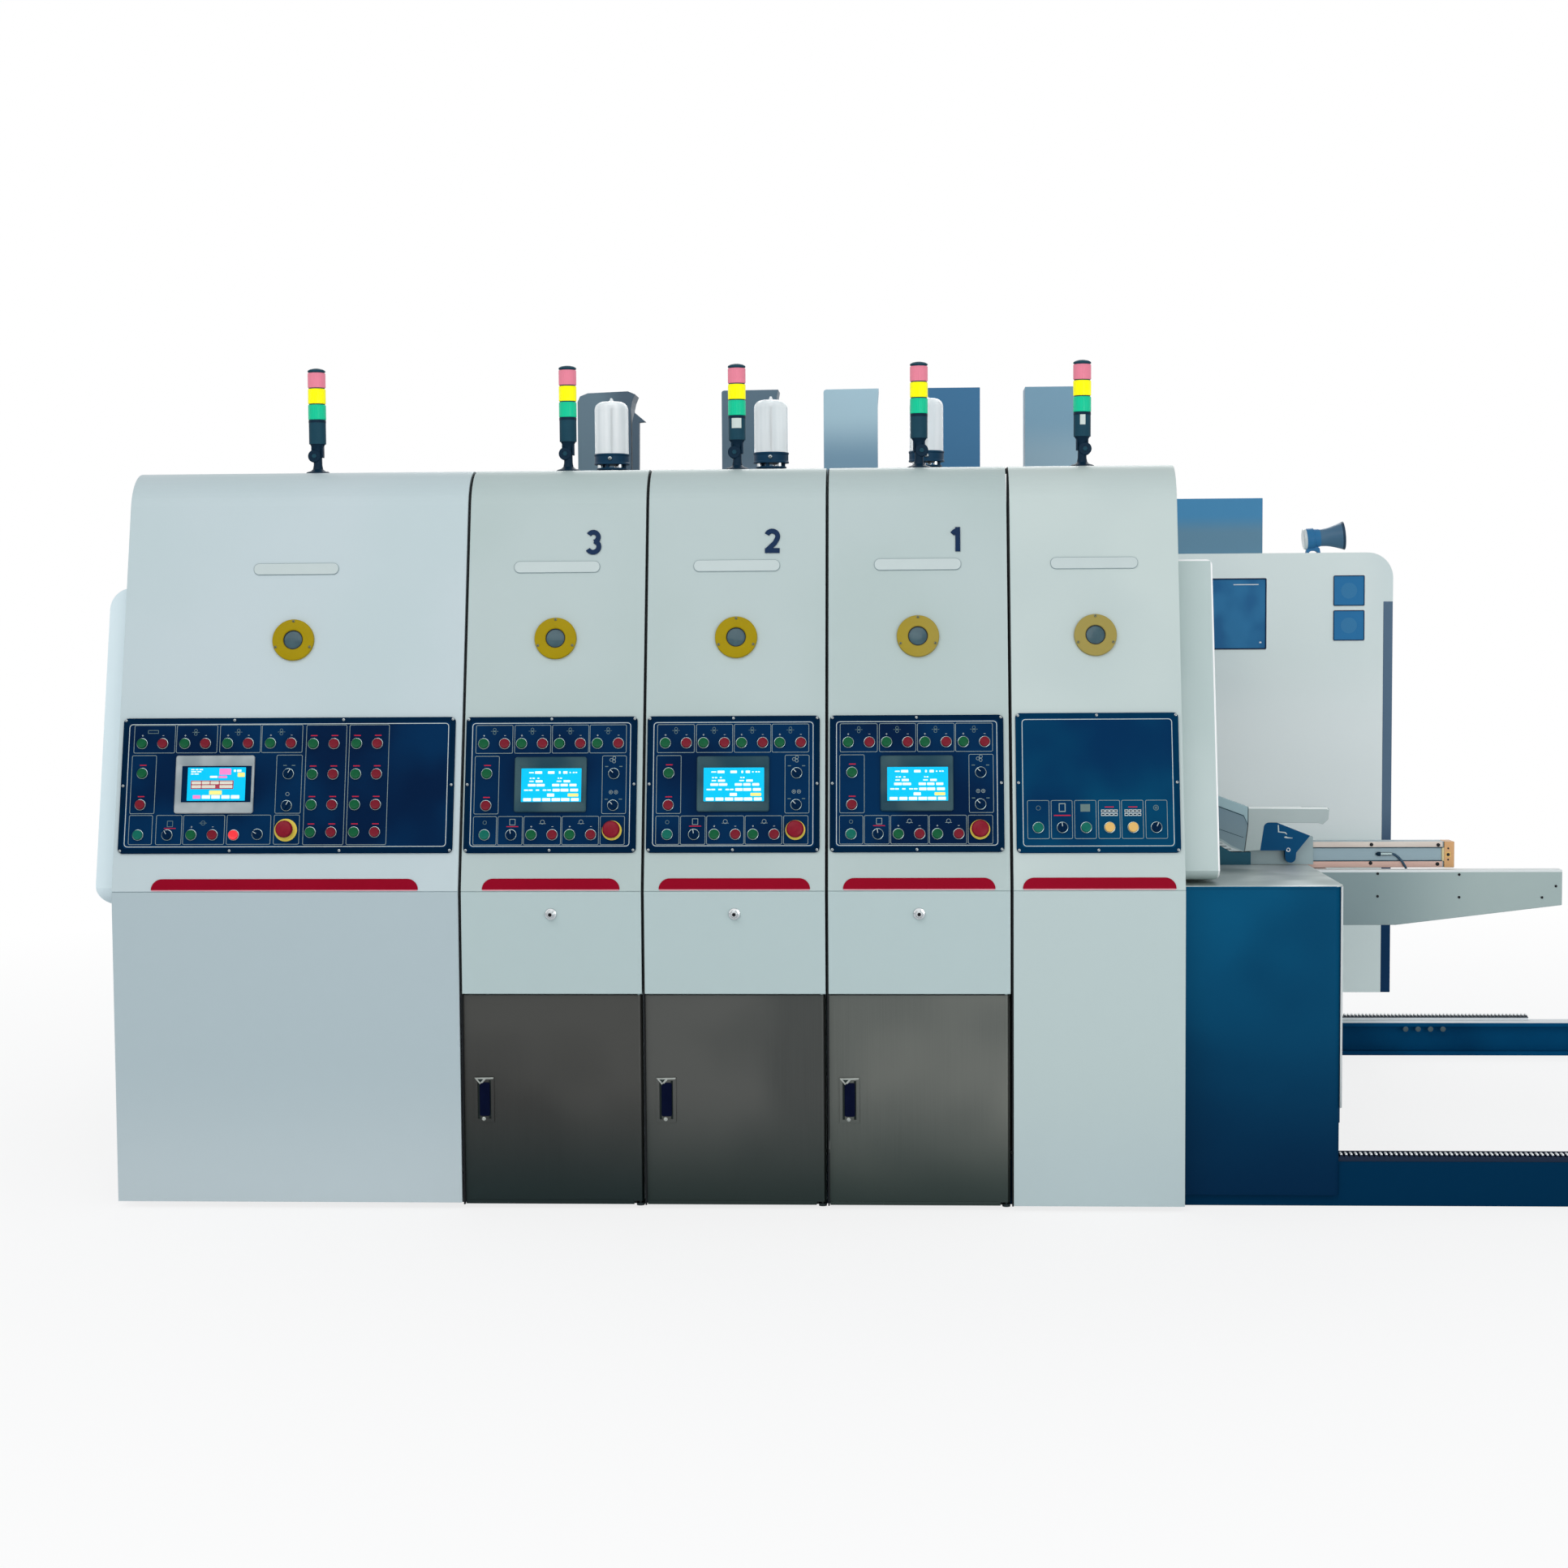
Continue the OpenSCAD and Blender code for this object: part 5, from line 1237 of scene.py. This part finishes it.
def housing_windows():
    lo, hi = span("housing_windows")
    housing_lo, housing_hi = span("feed_housing")
    y = housing_lo.y - 0.3
    line_end = edges_of("feed")[1]
    for name, share, drop, w, h in WINDOWS:
        big = name == "big_window"
        piece = FeederPiece(name, replaces=["housing_windows"] if big else ())
        place = facing(line_end + share * (hi.x - line_end), y, housing_hi.z - drop - h)
        rim = 4 if big else 2.4
        outer = round_rect(0, 0, w, h, 4, 4)
        piece.add(hollow(inset(outer, -1.6), outer, 0, 2.5, 0.5), "plate_white", place)
        piece.add(hollow(outer, inset(outer, rim), 0, 5, 1.0), "window_rim", place)
        pane = round_rect(rim - 0.3, rim - 0.3, w - rim + 0.3, h - rim + 0.3, 1.5, 4)
        piece.add(prism(pane, 0, 3), "window_deep" if big else "window_blue", place)
        if big:
            piece.add(block(w - 108, w - 26, h - 22, h - 19, 3, 4.4, 0.6), "plate_white", place)
            piece.add(block(w - 23, w - 16, 20, 25, 3, 4.2, 0.6), "plate_white", place)
        else:
            # A lighter disc on each small pane: a painted highlight on a shallow round boss
            piece.turn([(26, 2.9), (26, 3.2), (24, 3.3)], 48, "window_round", place @ T(w / 2, h / 2, 0))
        piece.make()
    strip = FeederPiece("housing_edge_strip")
    strip.add(block(hi.x - 30.8, hi.x - 0.2, y + 0.6, y + 57, lo.z, hi.z - 0.3, 1.5), "strip_grey")
    strip.make()


HORN_LIFT = 46
HORN_TILT = 5


def loudspeaker():
    lo, hi = span("loudspeaker")
    mid_y = (lo.y + hi.y) / 2
    piece = FeederPiece("loudspeaker_horn", replaces=["loudspeaker"])
    place = T(lo.x + 3, mid_y, lo.z + HORN_LIFT) @ R(90 - HORN_TILT, "Y")
    for profile, n, look in (
        ([(29, 0), (33, 1.5), (34.8, 5), (34.8, 10), (33, 12)], 48, "plate_white"),
        ([(33.4, 11), (34.4, 13), (34.4, 33), (33, 35.5), (30.4, 36.5), (29.4, 52),
          (28, 56)], 48, "horn_blue"),
        ([(28, 55), (28.2, 64), (29.4, 76), (31.8, 88), (35.2, 100), (39.4, 113),
          (44, 126)], 56, "horn_paint"),
        # The lip and inside of the horn carry the darker tone: painted shade in its mouth
        ([(43.6, 125), (46, 130.6), (46.9, 132.6), (46.4, 134), (44.6, 133.4), (38, 118), (31, 98), (25, 80),
          (19, 74)], 56, "horn_lip"),
        ([(12, 73), (12, 92), (9, 98), (4, 100)], 32, "horn_paint"),
    ):
        piece.turn(profile, n, look, place)
    arch = [
        (0, 0), (9, 0), (12, 5), (18, 8), (30, 8), (36, 5), (39, 0), (48, 0), (45, 16), (36, 24),
        (12, 24), (3, 16)
    ]
    foot = [(lo.x + 12 + a, lo.z + h) for a, h in arch]
    piece.add(wall(foot, mid_y - 11, mid_y + 11, 0.8), "horn_blue")
    piece.make()


housing_windows()
loudspeaker()


# ---------------------------------------------------------------- arm, side guide and guide beam

def row_of_screws(piece, node, places, r):
    """Screws on a node's front, at (distance from its right end, height)."""
    lo, hi = span(node)
    for back, z in places:
        screw_head(piece, facing(hi.x - back, lo.y - 0.1, z), r, "black_steel")


def arm_screws():
    piece = FeederPiece("arm_screws")
    places = (497, 790), (497, 728), (277, 787), (277, 725), (54, 724), (17, 755)
    row_of_screws(piece, "side_arms", places, 3.6)
    piece.make()


GUIDE_T = 32
GUIDE_Z = 854


def side_guide():
    lo = span("side_guide")[0]
    zero = T(lo.x, lo.y, GUIDE_Z)

    def part(name, walls, replaces=()):
        """A piece of upright plates, each (outline, front, back, edge, material)."""
        piece = FeederPiece(name, "guide_aluminium", replaces)
        for outline, y0, y1, edge, look in walls:
            piece.add(wall(outline, y0, y1, edge), look, zero)
        return piece

    face = [(0.3, 39), (30, 24), (55, 8), (87, -3.5), (90, -2), (99, 71), (87.5, 95), (0.3, 128)]
    roof = [(0.3, 129), (88, 96), (99.6, 72), (99.8, 119), (0.3, 156)]
    seam = [(0.3, 127), (87.5, 94), (98.5, 71), (99.6, 71.6), (88.3, 96), (0.3, 129.4)]
    lip = [(12, 32), (30, 24), (55, 8), (87, -4), (86, -0.5), (56, 13), (32, 29), (12, 38)]
    foot = [(0.3, -53.4), (108, -53.4), (108, -4.6), (55, -4.6), (22, 14), (0.3, 26)]
    part("side_guide_body", (
        (face, 0, 90, 0.8, "guide_body"),
        (roof, 2, 90, 0.8, "guide_teal"),
        (seam, -0.6, 10, 0, "guide_dark"),
        ([(20, 58.6), (88, 34.6), (88, 36), (20, 60)], -0.4, 4, 0, "guide_dark"),
        (lip, -0.8, 4, 0.3, "guide_light"),
        (foot, 1.5, GUIDE_T, 0.8, "guide_underside"),
    ), ["side_guide"]).make()

    bar = (
        [(91.4, -3), (133.4, 0.2), (142.5, 60)] + arc(157, 61.5, 14.5, 180, 90, 6)
        + [(290, 74.5), (303, 71), (315, 82), (318, 86)] + arc(313, 111, 6.5, 0, 90, 5)
        + [(101, 118.6), (100.6, 70.5)]
    )
    # The near-white ridge along the bracket's top: a painted highlight
    ridge = [(101, 114.4), (313, 112.4), (318, 110), (314, 117.4), (101, 118.8)]
    part("side_guide_bracket", (
        (bar, 0, GUIDE_T, 1.6, "guide_plate"), (ridge, -0.5, GUIDE_T - 1, 0.4, "guide_edge")
    )).make()

    outline = (
        [(134.2, 0.4), (143.2, 60)] + arc(157, 61.5, 13.8, 180, 90, 6)
        + [(178, 75), (267, 39.4), (230.5, -6)] + arc(216, -20, 13.4, 0, -180, 12) + [(202.6, 0.4)]
    )
    lock = part("side_guide_block", [(outline, 2.5, GUIDE_T, 1.0, "guide_navy")])
    eye = zero @ T(209.5, 2.4, 1) @ R(90, "X")
    lock.turn([(5.8, 0), (5.8, 1.2), (5.0, 1.8), (3.6, 1.4), (3.6, 0)], 32, "chrome", eye, True)
    # White marks on the block's face: painted highlights of small marks
    for mark in (
        [(181, 69), (183.6, 69), (184.6, 51.4), (202, 49.6), (206, 44), (205, 43), (200, 47.6), (182, 49.6)],
        [(198, 36), (203, 38.2), (208, 35.6), (221, 34), (221, 32.8), (207, 33.2), (202, 33.6)],
    ):
        lock.add(wall(mark, 1.9, 5, 0.2), "print_white", zero)
    lock.make()

    slab = [(108.4, -42), (283, -42), (281.6, 34.6), (266, 38), (108.4, 38)]
    part("side_guide_carriage", [(slab, GUIDE_T + 0.4, GUIDE_T + 25, 1.2, "guide_light")]).make()


END_W = 28
SENSOR_UP = 38


def guide_beam():
    lo, hi = span("guide_beams")
    end = hi.x - END_W
    body = FeederPiece("guide_beam_body", "guide_aluminium", ["guide_beams"])
    body.add(block(lo.x, end, lo.y + 5, hi.y, lo.z, hi.z - 0.4, 0.8), "beam_recess")
    for z, h, name in ((lo.z + 0.4, 17.4, "copper_pink"), (hi.z - 15.6, 15.2, "copper_strip")):
        body.add(block(lo.x, end - 4, lo.y, lo.y + 6, z, z + h, 1.2), name)
    for z in (lo.z + 18.2, hi.z - 17.8):
        body.add(block(lo.x, end - 4, lo.y + 0.4, lo.y + 5.6, z, z + 1.8), "guide_dark")
    places = (228, lo.z + 13), (46, lo.z + 10), (226, hi.z - 8), (44, hi.z - 9.5)
    row_of_screws(body, "guide_beams", places, 5)
    body.make()

    tip = FeederPiece("guide_beam_end", "guide_aluminium")
    tip.add(block(end, hi.x - 0.2, lo.y, hi.y, lo.z, hi.z - 0.2, 1.6), "end_tan")
    tip.add(block(end - 6, end + 6, lo.y + 1, lo.y + 9, lo.z + 18, hi.z - 17, 1), "end_light")
    for up, r in ((36, 4.4), (53, 2.6), (22, 2.6)):
        tip.turn([(r, 0), (r, 0.6)], 24, "black_plastic", facing(end + 11, lo.y - 0.2, lo.z + up))
    tip.add(wall(round_rect(end + 4, lo.z + 29, end + 18, lo.z + 43), lo.y - 0.4, lo.y + 1), "cap_yellow")
    tip.make()

    y, z = lo.y - 0.6, lo.z + SENSOR_UP
    sensor = FeederPiece("guide_sensor", "guide_aluminium")
    place = T(hi.x - 214, y, z) @ R(90, "Y")
    sensor.turn([(2, 0), (5.5, 5), (5.8, 8), (5.8, 12), (4.6, 13)], 24, "lamp_dark", place)
    sensor.turn([(4.2, 12.5), (4.6, 14), (4.6, 40), (4.2, 43), (3.4, 44)], 24, "bezel_chrome", place)
    clip = round_rect(hi.x - 198, lo.z + 34, hi.x - 180, lo.z + 42)
    sensor.add(wall(clip, y, lo.y + 5.2), "lamp_dark")
    sensor.make()
    cable(hi.x - 170, y, z)


CABLE_R = 3.2
# How far the gland stands beside and under the cable's start
GLAND_DX = 44
GLAND_DROP = 66


def cable(x, y, z):
    """The sensor's cable: out of its end, down behind the arm's edge and into a gland on the arm."""
    arm_back = span("side_arms")[1].y
    start = Vector((x, y, z))
    gland_x, gland_z = x + GLAND_DX, z - GLAND_DROP
    line = bezier([
        start, start + Vector((16, 0, 0)), start + Vector((40, -6, -30)),
        (gland_x, arm_back + 16, z - 52), (gland_x, arm_back + 12, gland_z), (gland_x, arm_back + 1, gland_z),
    ])
    hose = FeederPiece("guide_sensor_cable", "guide_aluminium")
    hose.add(tube(line, CABLE_R, 16), "cable_black")
    made = hose.make()
    gland = FeederPiece("guide_cable_gland", "guide_aluminium")
    place = T(gland_x, arm_back - 0.2, gland_z) @ R(-90, "X")
    gland.turn([(7, 0), (7, 5), (5.6, 6), (5.6, 10), (4.2, 12)], 6, "lamp_dark", place)
    gland.make()


arm_screws()
side_guide()
guide_beam()


# ---------------------------------------------------------------- cabinet's top, rails

TOP_CORNER = 20


def cabinet_top():
    """The stainless sheet on the front cabinet, and a bright strip on its rounded right front edge that fades
    towards the floor: a painted highlight.
    """
    lo, hi = span("feed_cabinet")
    x0 = edges_of("feed")[1] + 0.6
    centre = (hi.x - TOP_CORNER, lo.y + TOP_CORNER)
    sheet = FeederPiece("cabinet_top_sheet", "table_steel")
    corner = arc(hi.x - TOP_CORNER, lo.y + TOP_CORNER + 0.5, TOP_CORNER, -90, 0, 6)
    outline = [(x0, lo.y + 0.5)] + corner + [(hi.x, hi.y - 1), (x0, hi.y - 1)]
    sheet.add(prism(outline, hi.z - 1, hi.z + 2.2, 0.8), "table_sheet")
    sheet.make()
    strip = FeederPiece("cabinet_edge_highlight")
    outline = arc(*centre, TOP_CORNER + 0.5, -46, -6, 6) + arc(*centre, TOP_CORNER - 1, -6, -46, 6)
    strip.add(prism(outline, 252, hi.z - 1.2, 0.3), "edge_light")
    strip.make()


BOLT_X = 1012
BOLT_PITCH = 42
BOLT_Z = 90.6


def rail_bolts():
    lo, hi = span("floor_rails")
    piece = Piece("rail_bolts", "die_cutting_unit")
    line_end = edges_of("feed")[1]
    for y in (lo.y, hi.y - RAIL_W):
        for k in range(4):
            place = facing(line_end + BOLT_X + BOLT_PITCH * k, y - 0.1, BOLT_Z)
            piece.turn([(9, 0), (9, 1.6), (6.5, 2.0), (6.5, 0.4), (2, 0.4)], 24, "bolt_rust", place)
    piece.make()


def painted_rack_shade():
    """A dark strip behind the front rack, a little higher than its teeth: painted shade behind them."""
    lo, hi = span("rail_racks")
    y = lo.y + RACK_W
    piece = Piece("painted_rack_shade", "die_cutting_unit", "navy_paint")
    piece.add(block(lo.x, hi.x - 0.2, y + 0.1, y + 1.3, lo.z, hi.z + 2.2, 0.3), "rack_shade")
    piece.make()


cabinet_top()
rail_bolts()
painted_rack_shade()


# ---------------------------------------------------------------- studio

def make_world():
    world = bpy.data.worlds.new("studio")
    bpy.context.scene.world = world
    world.use_nodes = True
    tree = world.node_tree
    tree.nodes.clear()
    soft = new_node(tree, "Background", {"Color": (0.94, 0.97, 1.0, 1), "Strength": 0.5})
    seen = new_node(tree, "Background", {"Color": (1, 1, 1, 1), "Strength": 1.0})
    rays = new_node(tree, "LightPath").outputs
    bright = rays["Is Camera Ray"]
    for ray in ("Is Glossy Ray", "Is Transmission Ray"):
        bright = new_node(tree, "Math", {0: bright, 1: rays[ray]}, operation="MAXIMUM").outputs[0]
    mix = new_node(tree, "MixShader", {"Fac": bright, 1: soft.outputs[0], 2: seen.outputs[0]})
    new_node(tree, "OutputWorld", {"Surface": mix.outputs[0]})


def area_light(name, place, target, size, power, colour=(1, 1, 1)):
    data = bpy.data.lights.new(name, "AREA")
    data.shape = "RECTANGLE"
    data.size, data.size_y = size
    data.energy = power
    data.color = colour
    aim = (Vector(target) - Vector(place)).to_track_quat("-Z", "Y")
    put(name, data).matrix_world = T(*place) @ aim.to_matrix().to_4x4()


FLOOR_HALF = 40


def make_floor():
    """A pale floor that the camera sees brighter with the distance from the machine."""
    mesh = bpy.data.meshes.new("floor")
    square = round_rect(-FLOOR_HALF, -FLOOR_HALF, FLOOR_HALF, FLOOR_HALF)
    mesh.from_pydata(level(square, 0), [], [(0, 1, 2, 3)])
    made = bpy.data.materials.new("pale_floor")
    made.use_nodes = True
    tree = made.node_tree
    shader = tree.nodes["Principled BSDF"]
    shader.inputs["Base Color"].default_value = (0.86, 0.87, 0.88, 1)
    shader.inputs["Roughness"].default_value = 0.8
    glow = new_node(tree, "Emission", {"Strength": 1.0})
    camera_ray = new_node(tree, "LightPath").outputs["Is Camera Ray"]
    place = new_node(tree, "TexCoord").outputs["Object"]
    far = new_node(tree, "VectorMath", {0: place}, operation="LENGTH").outputs["Value"]
    limits = {"From Min": 2.0, "From Max": 6.5, "To Min": 0.8, "To Max": 1.0, "Value": far}
    ramp = new_node(tree, "MapRange", limits)
    share = new_node(tree, "Math", {0: camera_ray, 1: ramp.outputs["Result"]}, operation="MULTIPLY")
    mix = new_node(tree, "MixShader", {"Fac": share.outputs[0], 1: shader.outputs[0], 2: glow.outputs[0]})
    tree.links.new(mix.outputs[0], tree.nodes["Material Output"].inputs["Surface"])
    mesh.materials.append(made)
    put("floor", mesh)


make_world()
make_floor()
area_light("key", (-2.2, -6.0, 5.4), (-0.1, -0.9, 1.0), (6, 3), 130)
area_light("fill", (3.2, -8.0, 1.6), (0.4, -1.0, 0.7), (5, 2.4), 120, (0.97, 0.99, 1))
area_light("back", (0, 6.5, 5.5), (0, 0, 1.2), (6, 2.5), 150)

scene = bpy.context.scene
scene.view_settings.view_transform = "Standard"
